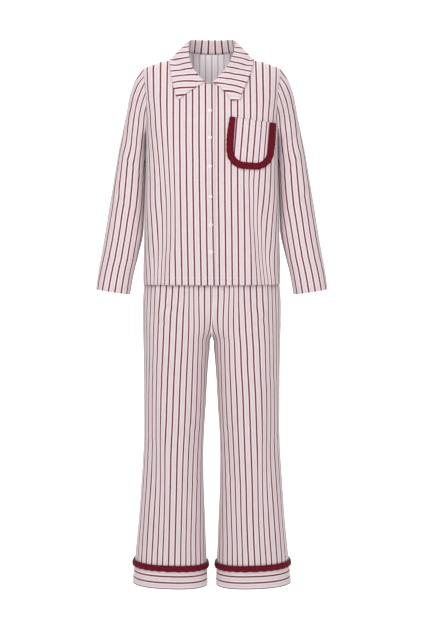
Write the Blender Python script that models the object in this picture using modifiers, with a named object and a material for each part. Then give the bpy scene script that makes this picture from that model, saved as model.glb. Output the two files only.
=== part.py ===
"""A striped pyjama set, filled out as it is worn: a long-sleeved shirt with a turned-down collar and a
frilled breast pocket, over straight trousers with frilled leg cuffs.

Tables and sizes are in millimetres and the model is in metres. +Z is up, the front faces -Y and +X is the
wearer's left. The origin lies between the shoulders, beside the neck, where the shirt hangs on its wearer.
"Drop" is the distance below the origin, and "side" is -1 for the wearer's right and +1 for the left.
"""

from math import atan, cos, pi, radians, sin, tan

import bpy
import numpy as np

MM = 0.001
COLLECTION = "pyjama_set"

# Walls and gaps
CLOTH = 1.3  # woven cotton with its seam turnings, one layer
DOUBLED = 1.6  # collar, cuffs and frills, two layers
ELASTIC = 2.4  # waistband with its elastic
SEAM = 0.3  # gap between two pieces where they are sewn together
LAYER = CLOTH + SEAM  # how far a layer lies above the one under it
SEAM_STRIP = 0.975  # share of a panel's width where its last, narrow strip beside a seam begins

# Colours (linear) of the cloth and the trims
STRIPED_CLOTH = (0.72, 0.66, 0.67, 1.0)
BURGUNDY_CLOTH = (0.13, 0.006, 0.014, 1.0)
BUTTON_WHITE = (0.85, 0.83, 0.82, 1.0)


def table(columns, *rows):
    """A table by column name. Its first column rises."""
    return dict(zip(columns.split(), np.array(rows, float).T))


# Shirt body: half width to the side seam, depth in front of and behind the side seams' plane, and how
# square the section is (2 is an ellipse). Above the armhole's foot the half width is the sleeve's side.
BODY = table(
    "drop half_width front back square",
    (-10, 192.0, 64, 62, 3.4),
    (60, 190.0, 80, 82, 3.6),
    (90, 186.0, 90, 92, 3.8),
    (120, 182.0, 98, 98, 4.0),
    (150, 179.5, 106, 102, 4.1),
    (180, 176.8, 111, 103, 4.2),
    (212, 175.3, 112, 101, 4.2),
    (310, 176.5, 108, 95, 4.0),
    (390, 180.0, 105, 96, 3.8),
    (500, 182.0, 105, 103, 3.8),
    (577, 184.0, 108, 109, 3.8),
    (620, 184.0, 110, 113, 3.8),
)
SHIRT_HEM = 613
RIDGE = 4  # y of the shoulder and side seams

# Shoulders: a straight slope to the tip, lifted a little beside the neck
SHOULDER_START = 60  # x
SHOULDER_SLOPE = 0.362
NECK_LIFT = 9.4
NECK_LIFT_END = 110  # x
TIP_LIFT = 5.8  # and a little higher outside the collar
TIP_LIFT_RISE = (104, 140)  # x
NECK_SIDE = 68  # x where the shoulder seam meets the neckline
NECK_COLUMN = 0.05  # how fast the body rises inside the neckline
FRONT_ROUND = 120  # height over which the shoulder rounds down into the front
BACK_ROUND = 100

# Neckline from the centre back, round the shoulder seam (NECK_CORNER), to the centre front
NECK_CORNER = 0.42
NECKLINE = table(
    "way x drop",
    (0.00, 0, -3.0),
    (0.12, 27, -3.5),
    (0.24, 49, -4.2),
    (0.34, 62, -4.4),
    (0.42, 68, -3.7),
    (0.52, 67, 11),
    (0.62, 63, 28),
    (0.72, 55, 46),
    (0.82, 43, 64.5),
    (0.92, 27, 80.5),
    (1.00, 10, 88),
)

# Armhole: way round the body (0 centre, 1 side seam) of its edge
ARMHOLE_TOP = 38.0
ARMHOLE_FOOT = 212
ARMHOLE = table(
    "drop way",
    (40, 0.620),
    (143, 0.620),
    (175, 0.652),
    (195, 0.709),
    (206, 0.782),
    (210, 0.850),
    (212, 1.000),
)

# Rows of a panel from the shoulder seam to the armhole's foot: the turn round the armhole in degrees,
# and the place on the neckline or, below it, the drop on the front edge
UPPER_ROWS = table(
    "turn neck edge",
    (0, 0.42, 0),
    (6, 0.47, 0),
    (20, 0.56, 0),
    (40, 0.66, 0),
    (60, 0.77, 0),
    (80, 0.88, 0),
    (100, 1.00, 0),
    (120, 1.00, 90.5),
    (140, 1.00, 114),
    (160, 1.00, 146),
    (180, 1.00, 186),
)
NECK_ROWS = 7
BODY_DROPS = (245, 295, 350, 410, 470, 530, 580, 609, SHIRT_HEM)
FRONT_COLUMNS = (0, 0.10, 0.20, 0.29, 0.37, 0.45, 0.53, 0.61, 0.70, 0.80, 0.90, SEAM_STRIP, 1)
BACK_COLUMNS = (0, 0.12, 0.24, 0.36, 0.48, 0.60, 0.72, 0.86, SEAM_STRIP, 1)  # from the centre back
RIGHT_EDGE = 8  # x of the right front's edge, which lies on top
LEFT_EDGE = -17  # x of the left front's edge, which lies under it
OVERLAP_RISE = (-40, -24)  # x over which the right front rises on to the left front
TUCK_UNDER = (12, -6)  # x over which the left front dips under the right one
TUCKED = 0.8

# Soft folds of the shirt body, pressed in from the outside
FRONT_FOLDS = table(
    "x top bottom width depth drift",
    (-137, 250, 700, 15, 5.0, 8),
    (-88, 430, 700, 18, 2.0, -5),
    (62, 400, 700, 20, 2.0, 4),
    (116, 350, 700, 13, 4.0, 6),
    (146, 300, 700, 12, 4.0, -6),
)
BACK_FOLDS = table(
    "x top bottom width depth drift",
    (-132, 260, 700, 16, 4.5, 6),
    (-70, 360, 700, 20, 3.5, -6),
    (5, 420, 700, 22, 3.0, 4),
    (78, 340, 700, 20, 4.0, 8),
    (136, 280, 700, 16, 4.5, -6),
)

# Sleeve: its outer and inner line as seen from the front, and its depth in front of and behind its centre
SLEEVE = table(
    "row out_x out_drop in_x in_drop centre front back",
    (0, 181.0, 38.0, 175.3, 212, 4, 60, 64),
    (1, 191.5, 48.5, 176.6, 216, 5, 59, 63),
    (2, 201.0, 63.5, 176.7, 224, 6, 58, 62),
    (3, 209.5, 82.0, 176.6, 233, 8, 57, 61),
    (4, 217.0, 104, 176.6, 245, 9, 56, 60),
    (5, 223.8, 132, 176.9, 260, 10, 55, 59),
    (6, 230.0, 166, 177.2, 280, 10, 54, 57),
    (7, 238.5, 205, 177.6, 304, 10, 52, 55),
    (8, 249.0, 252, 178.6, 332, 8, 50, 53),
    (9, 257.5, 304, 180.0, 364, 5, 48, 51),
    (10, 266.5, 358, 181.3, 400, 1, 46, 49),
    (11, 276.0, 414, 182.3, 440, -4, 44, 47),
    (12, 284.7, 470, 184.5, 485, -10, 42, 45),
    (13, 294.0, 526, 196.0, 535, -16, 40, 43),
    (14, 304.0, 580, 209.5, 590, -22, 39, 41),
    (15, 310.5, 627, 218.5, 641, -26, 38, 40),
)
SLEEVE_ROWS = 19
SLEEVE_COLUMNS = 18
SLEEVE_SQUARE = 2.4
OWN_SHAPE_ROW = 5  # where the armhole's egg shape has become the sleeve's own
HEAD_GAP = 0.45  # more room at the sleeve head, where two walls lean together
FOOT_GAP = 0.9  # more room at the armhole's foot, where the sleeve passes the side seam
HEAD_TUCKS = 7  # soft tucks that ease the sleeve head in
TUCK_DEPTH = 1.6
SLEEVE_FOLDS = table(
    "row turn length width depth",
    (5.2, 250, 0.55, 42, 5.0),
    (6.8, 80, 0.70, 38, 4.0),
    (8.6, 300, 0.60, 45, 4.5),
    (10.3, 60, 0.70, 40, 3.5),
    (12.4, 280, 0.80, 40, 3.0),
)

# Collar, from the centre back to its front edge: place on the neckline, the roll and the outer edge.
# The right half comes first; the last row is the front edge, down to the point.
COLLAR_RIGHT = table(
    "station way roll_x roll_y roll_z edge_x edge_y edge_z",
    (0, 0.00, 0, 66, 42, 0, 86, -18),
    (1, 0.12, 25, 64, 42, 38, 84, -20),
    (2, 0.24, 48, 50, 41, 76, 66, -23),
    (3, 0.34, 61, 28, 38, 102, 36, -24),
    (4, 0.42, 65, 4, 30, 114, 6, -21),
    (5, 0.51, 65, -20, 13, 112.5, -22, -31),
    (6, 0.60, 63.5, -40, -8, 110, -38, -48),
    (7, 0.69, 59, -57, -26, 107.5, -52, -66),
    (8, 0.78, 52.5, -69, -44, 104.5, -64, -83),
    (9, 0.86, 41, -78.5, -60, 100.5, -76, -100),
    (10, 0.94, 29, -86, -73.5, 95, -84, -118),
    (11, 0.98, 17, -89, -81.5, 85.5, -90, -128),
)
COLLAR_LEFT = table(
    "station way roll_x roll_y roll_z edge_x edge_y edge_z",
    (0, 0.00, 0, 66, 42, 0, 86, -18),
    (1, 0.12, 25, 64, 42, 38, 84, -20),
    (2, 0.24, 47, 50, 41, 76, 66, -23),
    (3, 0.34, 60, 28, 39, 101, 36, -24),
    (4, 0.42, 65, 4, 30, 112.5, 6, -20),
    (5, 0.51, 64, -20, 12, 110.5, -22, -29),
    (6, 0.60, 59, -40, -6, 107.5, -38, -43),
    (7, 0.69, 51.5, -57, -24, 103, -52, -61),
    (8, 0.78, 42, -69, -41, 96.5, -64, -79),
    (9, 0.86, 30, -78, -55, 88.5, -76, -96),
    (10, 0.94, 17, -85, -69, 78, -84, -114),
    (10.6, 0.96, 9, -87.6, -76.8, 71.5, -88, -128),
    (11, 0.98, 4, -89, -81.5, 50, -90.5, -131),
)
COLLAR_STATIONS = (0, 0.8, 1.6, 2.4, 3.2, 4, 4.8, 5.6, 6.4, 7.2, 8, 8.8, 9.5, 10.1, 10.6, 11)
FALL_ROWS = (0.13, 0.36, 0.66, 1.0)  # down the fall, from the roll to the outer edge
ROLL_RADIUS = 2.1
STAND_GAP = 1.5  # more room under the stand in front, where the neckline runs steeply
COLLAR_CROWN = 3.5  # how far the fall bows out
COLLAR_REST = 1.0  # gap between the fall and the body under it

# Buttons on the overlap
BUTTON_WIDTH = 10.5
BUTTON_THICK = 2.4
BUTTON_TURN = 12  # sides
BUTTON_REST = 0.5  # gap under a button
BUTTONS = table(
    "drop x",
    (157.3, -5.3),
    (227.1, -5.1),
    (301.0, -5.0),
    (380.3, -3.9),
    (454.6, -2.8),
    (524.7, -2.0),
)

# Patch pocket on the left front, turned a little
POCKET_X = 107
POCKET_DROP = 181
POCKET_TURN = radians(4.5)
POCKET_SLANT = tan(radians(3.5))  # of its top edge
POCKET_HALF = 44.5
POCKET_HEIGHT = 111.5
POCKET_CORNER = 30
POCKET_COLUMNS = 8
POCKET_ROWS = 10
POCKET_REST = 0.3  # more room under the pocket, which bridges the panel's curve
POCKET_FRILL = 17.5
POCKET_WAVES = 22

# Frills: across the strip, its rise above what it lies on and the height of its waves
FRILL = table("across rise wave", (0, 0.0, 0.0), (0.5, 3.2, 1.3), (1, 2.4, 2.2))
POINTS_A_WAVE = 4

# Trouser leg: outer and inner line (above the fork the inner one lies past the centre, where it is cut),
# depth in front and behind, and how square the section is
LEG = table(
    "drop outer inner front back square",
    (424, 141, -141, 84, 86, 2.4),
    (456, 143, -143, 86, 88, 2.4),
    (500, 152, -150, 90, 93, 2.5),
    (550, 168, -155, 95.6, 98, 2.7),
    (600, 180.7, -150, 98.8, 102, 2.9),
    (625, 183.6, -130, 99.8, 106, 2.9),
    (658, 186.2, -95, 100, 110, 2.8),
    (690, 186.6, -58, 100, 112, 2.7),
    (720, 186.5, -29, 98, 111, 2.6),
    (740, 186.3, -13, 97, 110, 2.5),
    (757, 186.0, 0.3, 95, 108, 2.4),
    (794, 185.3, 5.5, 92, 103, 2.3),
    (875, 184.2, 12.2, 88, 96, 2.3),
    (930, 184.3, 15.0, 85, 92, 2.3),
    (1040, 185.0, 21.5, 80, 87, 2.3),
    (1150, 191.5, 21.8, 78, 84, 2.3),
    (1260, 199.3, 17.8, 78, 83, 2.3),
    (1343, 207.5, 15.0, 79, 82, 2.3),
    (1370, 210.0, 13.5, 80, 82, 2.3),
    (1440, 217.5, 11.0, 82, 84, 2.3),
)
FORK = 757
FORK_GAP = 0.45  # from the centre plane to each front's and back's centre seam
LEG_RIDGE = 4  # y of the leg's seams
LEG_TILT = tan(radians(2.0))  # the leg hangs outwards, so its rings lean
TILT_START = 800
WAIST = 424
WAIST_SEAM = 456
CUFF_SEAM = 1370
LEG_HEM = 1432
LEG_DROPS = (
    WAIST_SEAM, 500, 550, 600, 645, 685, 712, 730, 742, 750, 755, FORK,
    775, 820, 890, 980, 1080, 1180, 1280, CUFF_SEAM - SEAM,
)
LEG_COLUMNS = (0, 0.022, 0.12, 0.23, 0.35, 0.47, 0.59, 0.71, 0.82, 0.91, 0.98, 1)
LEG_FOLDS = table(
    "drop way length width depth",
    (700, 0.42, 60, 0.10, 3.0),
    (690, 0.68, 50, 0.09, 3.0),
    (1010, 0.30, 110, 0.12, 3.5),
    (1080, 0.72, 120, 0.12, 3.5),
    (1250, 0.50, 130, 0.14, 4.0),
)
RING_COLUMNS = 30  # round a cuff or the waistband
LEG_FRILL = 16
LEG_WAVES = 29
FRILL_ABOVE = 1.5  # how far the leg frill starts above the cuff's seam


# ---------------------------------------------------------------- curves and surfaces


def smooth(keys, values, at):
    """A smooth curve through (keys, values), read at the places `at`."""
    slopes = np.gradient(values, keys)
    at = np.clip(np.asarray(at, float), keys[0], keys[-1])
    start = np.clip(np.searchsorted(keys, at, side="right") - 1, 0, len(keys) - 2)
    span = keys[start + 1] - keys[start]
    t = (at - keys[start]) / span
    return (
        (1 + 2 * t) * (1 - t) ** 2 * values[start]
        + t * (1 - t) ** 2 * span * slopes[start]
        + t * t * (3 - 2 * t) * values[start + 1]
        - t * t * (1 - t) * span * slopes[start + 1]
    )


def read(source, column, at):
    """One column of a table, read smoothly at places along its first column."""
    return smooth(next(iter(source.values())), source[column], at)


def ease(value, start, end):
    """0 before start, 1 after end, and a soft step between."""
    t = np.clip((np.asarray(value, float) - start) / (end - start), 0, 1)
    return t * t * (3 - 2 * t)


def mix(a, b, share):
    return a + (b - a) * share


def power(value, square):
    """A superellipse's coordinate from a cosine or sine."""
    return np.sign(value) * np.abs(value) ** (2 / square)


def shoulder_z(x):
    """Height of the shoulder line, and inside the neckline that of the neck's column."""
    out = np.maximum(np.abs(x), NECK_SIDE)
    lift = NECK_LIFT * (np.clip(NECK_LIFT_END - out, 0, None) / (NECK_LIFT_END - SHOULDER_START)) ** 2
    column = NECK_COLUMN * (out - np.abs(x)) ** 2
    tip = TIP_LIFT * ease(out, *TIP_LIFT_RISE)
    return -SHOULDER_SLOPE * (out - SHOULDER_START) + lift + tip + column


def body_x(way, drop):
    """x at a way round the body: 0 at the centre, 1 at the side seam."""
    way = np.asarray(way, float)
    share = way**2 / (way**2 + (1 - np.abs(way)) ** 2)
    square = read(BODY, "square", drop)
    return np.sign(way) * read(BODY, "half_width", drop) * power(np.sin(share * pi / 2), square)


def body_way(x, drop):
    """The way round the body that body_x turns into this x."""
    square = read(BODY, "square", drop)
    ratio = np.clip(np.abs(x) / read(BODY, "half_width", drop), 0, 1)
    share = np.arcsin(ratio ** (square / 2)) / (pi / 2)
    return np.sign(x) * np.sqrt(share) / (np.sqrt(share) + np.sqrt(1 - share))


def body_depth(x, drop, face):
    """Distance of the body's surface from the plane of its seams, in front (-1) or behind (+1)."""
    square = read(BODY, "square", drop)
    ratio = np.clip(np.abs(x) / read(BODY, "half_width", drop), 0, 1)
    depth = read(BODY, "front" if face < 0 else "back", drop)
    height = FRONT_ROUND if face < 0 else BACK_ROUND
    below = np.clip(shoulder_z(x) + drop, 0, height)
    return depth * (1 - ratio**square) ** (1 / square) * np.sqrt(1 - (1 - below / height) ** 2)


def fold_depth(folds, x, drop):
    """How far the folds press the surface in."""
    total = np.zeros(np.broadcast(x, drop).shape)
    for fold in zip(*folds.values()):
        centre, top, bottom, width, depth, drift = fold
        along = ease(drop, top, top + 170)
        middle = centre + drift * (drop - top) / (bottom - top)
        total += depth * along * np.exp(-(((x - middle) / width) ** 2))
    return total


def body_point(x, drop, face, lift=0.0):
    """A point on the shirt body's surface, moved out by lift."""
    x, drop = np.broadcast_arrays(np.asarray(x, float), np.asarray(drop, float))
    folds = fold_depth(FRONT_FOLDS if face < 0 else BACK_FOLDS, x, drop)
    depth = body_depth(x, drop, face)
    fade = ease(depth, 5, 45)
    y = RIDGE + face * (SEAM / 2 + depth - folds * fade + lift)
    return np.stack([x, y, -drop], axis=-1)


def armhole_edge(turn):
    """x and drop of the armhole's edge at a turn: 0 at the shoulder, pi at its foot."""
    drop = mix(ARMHOLE_TOP, ARMHOLE_FOOT, (1 - cos(turn)) / 2)
    return body_x(read(ARMHOLE, "way", drop), drop), drop


# ---------------------------------------------------------------- making objects


def material(name, colour, roughness):
    made = bpy.data.materials.new(name)
    made.use_nodes = True
    shader = made.node_tree.nodes["Principled BSDF"]
    shader.inputs["Base Color"].default_value = colour
    shader.inputs["Roughness"].default_value = roughness
    shader.inputs["Metallic"].default_value = 0.0
    return made


def add_object(name, mesh, colour, roughness=0.85):
    mesh.materials.append(material(name, colour, roughness))
    made = bpy.data.objects.new(name, mesh)
    bpy.data.collections[COLLECTION].objects.link(made)
    return made


def cloth(name, grid, colour, wall=CLOTH, ring=False):
    """A cloth wall. The grid holds its outer points, rows downwards and columns anticlockwise from above."""
    rows, columns = grid.shape[:2]
    around = columns if ring else columns - 1
    faces = []
    for i in range(rows - 1):
        for j in range(around):
            k = (j + 1) % columns
            faces.append((i * columns + j, (i + 1) * columns + j, (i + 1) * columns + k, i * columns + k))
    mesh = bpy.data.meshes.new(name)
    mesh.from_pydata((grid.reshape(-1, 3) * MM).tolist(), [], faces)
    mesh.shade_smooth()
    made = add_object(name, mesh, colour)
    shell = made.modifiers.new("wall", "SOLIDIFY")
    shell.thickness = wall * MM
    shell.offset = -1
    return made


def ordered(grid, side):
    """Columns built from the centre outwards run the other way on the wearer's right."""
    return grid[:, ::-1] if side < 0 else grid


# ---------------------------------------------------------------- shirt


def front_point(side, x, drop):
    """A point of a front, x outwards from the centre: the right one rises where it laps over the left."""
    if side < 0:
        lift = LAYER * ease(-x, *OVERLAP_RISE)
    else:
        lift = -TUCKED * ease(x, *TUCK_UNDER)
    return body_point(side * x, drop, -1, lift)


def neck_point(side, way):
    """A point on the neckline. In front it runs straight between the panels' rows, as they do."""
    if way < NECK_CORNER:
        return body_point(side * read(NECKLINE, "x", way), read(NECKLINE, "drop", way), 1)
    ways = UPPER_ROWS["neck"][:NECK_ROWS]
    start = min(np.searchsorted(ways, way, side="right"), NECK_ROWS - 1) - 1
    above, below = ways[start : start + 2]
    ends = [front_point(side, read(NECKLINE, "x", end), read(NECKLINE, "drop", end)) for end in (above, below)]
    return mix(*ends, (way - above) / (below - above))


def bunched(columns, end):
    """Columns drawn together towards a row's end at the armhole, so that those near the centre run straight."""
    return columns * (1 - (1 - end) * columns) / end


def panel_row(inner_x, inner_drop, outer_x, outer_drop, columns, rise):
    """x and drop along one row. rise is the share of its own height that it has gained at each column."""
    end = body_way(outer_x, outer_drop)
    way = mix(body_way(inner_x, outer_drop), end, bunched(columns, end))
    return body_x(way, outer_drop), mix(inner_drop, outer_drop, rise)


def shoulder_rise(x):
    """How the shoulder seam itself gains its height, from the neckline to the armhole."""
    start = -shoulder_z(NECK_SIDE)
    return (-shoulder_z(x) - start) / (ARMHOLE_TOP - start)


def front_panel(side):
    """Right or left front, from its front edge to the armhole and the side seam."""
    edge_x = LEFT_EDGE if side > 0 else -RIGHT_EDGE
    columns = np.array(FRONT_COLUMNS)
    rows = []
    for turn, neck, edge_drop in zip(*UPPER_ROWS.values()):
        outer = armhole_edge(radians(turn))
        if len(rows) < NECK_ROWS:
            inner = read(NECKLINE, "x", neck), read(NECKLINE, "drop", neck)
        else:
            inner = edge_x, edge_drop
        if not rows:
            seam_rise = shoulder_rise(panel_row(*inner, *outer, columns, columns)[0])
        rise = mix(seam_rise, columns, ease(turn, 0, UPPER_ROWS["turn"][-1]))
        rows.append(panel_row(*inner, *outer, columns, rise))
    for drop in BODY_DROPS:
        rows.append(panel_row(edge_x, drop, body_x(1.0, drop), drop, columns, columns))
    x, drop = np.array(rows).transpose(1, 0, 2)
    return ordered(front_point(side, x, drop), side)


def back_top(x):
    """Drop of the back's top edge: the neckline, then the shoulder seam."""
    neck = smooth(NECKLINE["x"][:5], NECKLINE["drop"][:5], np.minimum(x, NECK_SIDE))
    return np.where(x < NECK_SIDE, neck, -shoulder_z(x))


def back_panel():
    """The back, from the left side to the right, as two halves that share the centre column."""
    columns = np.array(BACK_COLUMNS)
    top = back_top(panel_row(0, 0, *armhole_edge(0), columns, columns)[0])
    rows = []
    for turn in UPPER_ROWS["turn"]:
        x, _ = panel_row(0, 0, *armhole_edge(radians(turn)), columns, columns)
        rows.append((x, mix(top, ARMHOLE_FOOT, (1 - cos(radians(turn))) / 2)))
    for drop in BODY_DROPS:
        rows.append((body_x(columns, drop), np.full(len(columns), drop)))
    x, drop = np.array(rows).transpose(1, 0, 2)
    left = body_point(x[:, ::-1], drop[:, ::-1], 1)
    right = body_point(-x[:, 1:], drop[:, 1:], 1)
    return np.concatenate([left, right], axis=1)


def sleeve_ring(side, row, turns):
    """A ring of the sleeve: turn 0 is its outer line, and the front comes first. Row 0 is the armhole."""
    out = np.array([read(SLEEVE, "out_x", row), 0, -read(SLEEVE, "out_drop", row)])
    inner = np.array([read(SLEEVE, "in_x", row), 0, -read(SLEEVE, "in_drop", row)])
    centre = (out + inner) / 2 + [0, read(SLEEVE, "centre", row), 0]
    own = ease(row, 0, OWN_SHAPE_ROW)
    points = []
    for turn in turns:
        face = -1 if turn < pi else 1
        x, drop = armhole_edge(turn)
        across = body_depth(x, drop, face) * face
        bend = x - mix(SLEEVE["in_x"][0], SLEEVE["out_x"][0], (1 + cos(turn)) / 2)
        depth = read(SLEEVE, "front" if face < 0 else "back", row)
        own_across = face * depth * abs(power(sin(turn), SLEEVE_SQUARE))
        along = mix(cos(turn), power(cos(turn), SLEEVE_SQUARE), own)
        point = centre + (out - inner) / 2 * along
        point += [bend * (1 - own), mix(across, own_across, own), 0]
        radial = (point - centre) / np.linalg.norm(point - centre)
        points.append(point - radial * sleeve_dent(row, turn))
    return np.array(points) * [side, 1, 1]


def sleeve_dent(row, turn):
    """How far the sleeve's folds and the tucks at its head press in."""
    dent = 0.0
    for fold_row, fold_turn, length, width, depth in zip(*SLEEVE_FOLDS.values()):
        off = (turn - radians(fold_turn) + pi) % (2 * pi) - pi
        slant = 1.6 * off * length
        dent += depth * np.exp(-(((row - fold_row + slant) / length) ** 2) - (off / radians(width)) ** 2)
    head = ease(cos(turn), -0.2, 0.5) * ease(row, 3.2, 0.9) * ease(row, 0, 0.8)
    return dent + TUCK_DEPTH * head * (0.5 - 0.5 * cos(2 * HEAD_TUCKS * turn))


def sleeve(side):
    turns = np.arange(SLEEVE_COLUMNS) * 2 * pi / SLEEVE_COLUMNS
    rows = np.concatenate([[0, 0.35], np.linspace(1, SLEEVE["row"][-1], SLEEVE_ROWS - 2)])
    grid = np.array([sleeve_ring(side, row, turns) for row in rows])
    away = grid[1] - grid[0]
    away /= np.linalg.norm(away, axis=1)[:, None]
    gap = SEAM + mix(FOOT_GAP, HEAD_GAP, 0.5 + 0.5 * np.cos(turns))
    grid[0] += away * gap[:, None]
    return grid[:, ::-1] if side > 0 else grid


def clear_body(point, lift):
    """Moves a point straight out of the shirt body where it lies deeper than lift above its surface."""
    x, y, z = point
    face = -1 if y < RIDGE else 1
    height = FRONT_ROUND if face < 0 else BACK_ROUND
    drop = max(-z, -10)
    square = read(BODY, "square", drop)
    ratio = min(abs(x) / read(BODY, "half_width", drop), 1)
    depth = read(BODY, "front" if face < 0 else "back", drop) * (1 - ratio**square) ** (1 / square)
    foot = shoulder_z(x) - height
    across = (y - RIDGE) / (depth + lift)
    up = max(z - foot, 0) / (height + lift)
    reach = np.hypot(across, up)
    if reach >= 1 or abs(x) < NECK_SIDE and z > 0:
        return point
    return np.array([x, RIDGE + (y - RIDGE) / reach, foot + (z - foot) / reach if z > foot else z])


def collar_column(side, source, station):
    """The collar's visible face at one station: up the stand, over the roll and down the fall."""
    way = float(read(source, "way", station))
    roll = np.array([read(source, "roll_" + axis, station) for axis in "xyz"]) * [side, 1, 1]
    edge = np.array([read(source, "edge_" + axis, station) for axis in "xyz"]) * [side, 1, 1]
    seam = neck_point(side, way)
    out = np.array([edge[0] - roll[0], edge[1] - roll[1], 0.0])
    out = np.array([roll[0], roll[1], 0.0]) if np.linalg.norm(out) < 1 else out
    out /= np.linalg.norm(out)
    inward = -np.array([seam[0], seam[1] - RIDGE, 0.0])
    inward /= np.linalg.norm(inward)
    foot = seam + inward * DOUBLED + [0, 0, SEAM + mix(0, STAND_GAP, ease(way, NECK_CORNER, 1))]
    centre = roll - out * ROLL_RADIUS - [0, 0, ROLL_RADIUS]
    arc = [centre + ROLL_RADIUS * (out * -cos(a) + np.array([0, 0, sin(a)])) for a in (0.2, pi / 2, 0.85 * pi)]
    points = [foot, mix(foot, arc[0], 0.5)] + arc
    span = edge - arc[-1]
    bow = np.cross(np.cross(span, [0, 0, 1.0]), span)
    bow /= np.linalg.norm(bow)
    for share in FALL_ROWS:
        crown = COLLAR_CROWN * 4 * share * (1 - share)
        point = arc[-1] + span * share + bow * crown
        points.append(clear_body(point, DOUBLED + LAYER + COLLAR_REST))
    return np.array(points)


def collar():
    right = [collar_column(-1, COLLAR_RIGHT, station) for station in COLLAR_STATIONS[:0:-1]]
    left = [collar_column(1, COLLAR_LEFT, station) for station in COLLAR_STATIONS]
    return np.array(right + left).transpose(1, 0, 2)[::-1]


def surface_frame(x, drop, lift):
    """Place and axes of something that sits on the right front: its own z points out of the cloth."""
    step = 2.0
    place = body_point(x, drop, -1, lift)
    across = body_point(x + step, drop, -1, lift) - place
    down = body_point(x, drop + step, -1, lift) - place
    out = np.cross(down, across)
    return place, out / np.linalg.norm(out)


def button(number, drop, x):
    """A turned button: a dished disc with a round rim, lying on the right front."""
    place, out = surface_frame(x, drop, LAYER + BUTTON_REST)
    half = BUTTON_WIDTH / 2
    profile = (
        (0, BUTTON_THICK * 0.72),
        (half * 0.62, BUTTON_THICK * 0.72),
        (half * 0.80, BUTTON_THICK),
        (half * 0.93, BUTTON_THICK * 0.92),
        (half, BUTTON_THICK * 0.55),
        (half * 0.86, 0),
        (0, 0),
    )
    name = f"button_{number}"
    mesh = bpy.data.meshes.new(name)
    points = [(radius * MM, 0, height * MM) for radius, height in profile]
    mesh.from_pydata(points, [(i, i + 1) for i in range(len(points) - 1)], [])
    made = add_object(name, mesh, BUTTON_WHITE, 0.35)
    turned = made.modifiers.new("turned", "SCREW")
    turned.steps = BUTTON_TURN
    turned.render_steps = BUTTON_TURN
    turned.use_merge_vertices = True
    turned.merge_threshold = 0.0001
    made.location = place * MM
    made.rotation_euler = (pi / 2 - atan(-out[2] / out[1]), 0, atan(-out[0] / out[1]))
    return made


def pocket_place(across, down):
    """x and drop of a point in the pocket's own frame."""
    x = POCKET_X + across * cos(POCKET_TURN) - down * sin(POCKET_TURN)
    drop = POCKET_DROP + across * sin(POCKET_TURN) + down * cos(POCKET_TURN)
    return x, drop


def pocket():
    foot = POCKET_HEIGHT - POCKET_CORNER
    turns = np.linspace(0, pi / 2, POCKET_ROWS - 4)
    downs = np.concatenate([np.linspace(0, foot, 5)[:-1], foot + POCKET_CORNER * np.sin(turns)])
    halves = np.concatenate([np.full(4, POCKET_HALF), POCKET_HALF - POCKET_CORNER * (1 - np.cos(turns))])
    share = np.linspace(-1, 1, POCKET_COLUMNS)
    across = halves[:, None] * share[None, :]
    top = POCKET_SLANT * across * ease(downs, foot, 0)[:, None]
    x, drop = pocket_place(across, downs[:, None] + top)
    return body_point(x, drop, -1, LAYER + POCKET_REST)


def pocket_outline(share):
    """Point and outward direction on the pocket's sides and foot, from the top inner corner round."""
    straight = POCKET_HEIGHT - POCKET_CORNER
    quarter = POCKET_CORNER * pi / 2
    level = 2 * (POCKET_HALF - POCKET_CORNER)
    total = 2 * straight + 2 * quarter + level
    way = share * total
    mirrored = way > total / 2
    way = total - way if mirrored else way
    if way < straight:
        point, out = (-POCKET_HALF, way), (-1, 0)
    elif way < straight + quarter:
        turn = (way - straight) / POCKET_CORNER
        out = (-cos(turn), sin(turn))
        point = (out[0] * POCKET_CORNER - POCKET_HALF + POCKET_CORNER, straight + out[1] * POCKET_CORNER)
    else:
        point, out = (way - straight - quarter - POCKET_HALF + POCKET_CORNER, POCKET_HEIGHT), (0, 1)
    flip = -1 if mirrored else 1
    slant = POCKET_SLANT * flip * point[0] * float(ease(point[1], straight, 0))
    return np.array([flip * point[0], point[1] + slant]), np.array([flip * out[0], out[1]])


def pocket_frill():
    columns = POCKET_WAVES * POINTS_A_WAVE
    rows = []
    for across, rise, wave in zip(*FRILL.values()):
        row = []
        for j in range(columns + 1):
            point, out = pocket_outline(j / columns)
            x, drop = pocket_place(*(point + out * (SEAM + across * POCKET_FRILL)))
            lift = DOUBLED + SEAM + rise + wave * sin(2 * pi * j / POINTS_A_WAVE)
            row.append(body_point(x, drop, -1, lift))
        rows.append(row)
    return np.array(rows)[::-1]


# ---------------------------------------------------------------- trousers


def leg_point(side, way, drop, face, lift=0.0):
    """A point on a leg: way 0 at the outer seam, 1 at the inner one, round the front (-1) or back (+1)."""
    outer = read(LEG, "outer", drop) + lift
    inner = read(LEG, "inner", drop) - lift
    square = read(LEG, "square", drop)
    depth = read(LEG, "front" if face < 0 else "back", drop) + lift
    centre = (outer + inner) / 2
    half = (outer - inner) / 2
    end = 1.0
    if drop < FORK:
        end = np.arccos(-np.clip((centre - FORK_GAP) / half, 0, 1) ** (square / 2)) / pi
    turn = way * end * pi
    x = centre + half * power(np.cos(turn), square)
    gap = face * SEAM / 2 if lift == 0 else 0.0
    y = LEG_RIDGE + gap + face * (depth * power(np.sin(turn), square) - leg_dent(way, drop, face))
    lean = LEG_TILT * ease(drop, TILT_START, CUFF_SEAM) * (x - centre)
    return np.array([side * x, y, -drop + lean])


def leg_dent(way, drop, face):
    """How far the leg's soft folds press in."""
    dent = 0.0
    for fold_drop, fold_way, length, width, depth in zip(*LEG_FOLDS.values()):
        middle = fold_way if face < 0 else 1 - fold_way
        off = (way - middle) / width
        dent += depth * np.exp(-(((drop - fold_drop) / length) ** 2) - off**2)
    return dent


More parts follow.
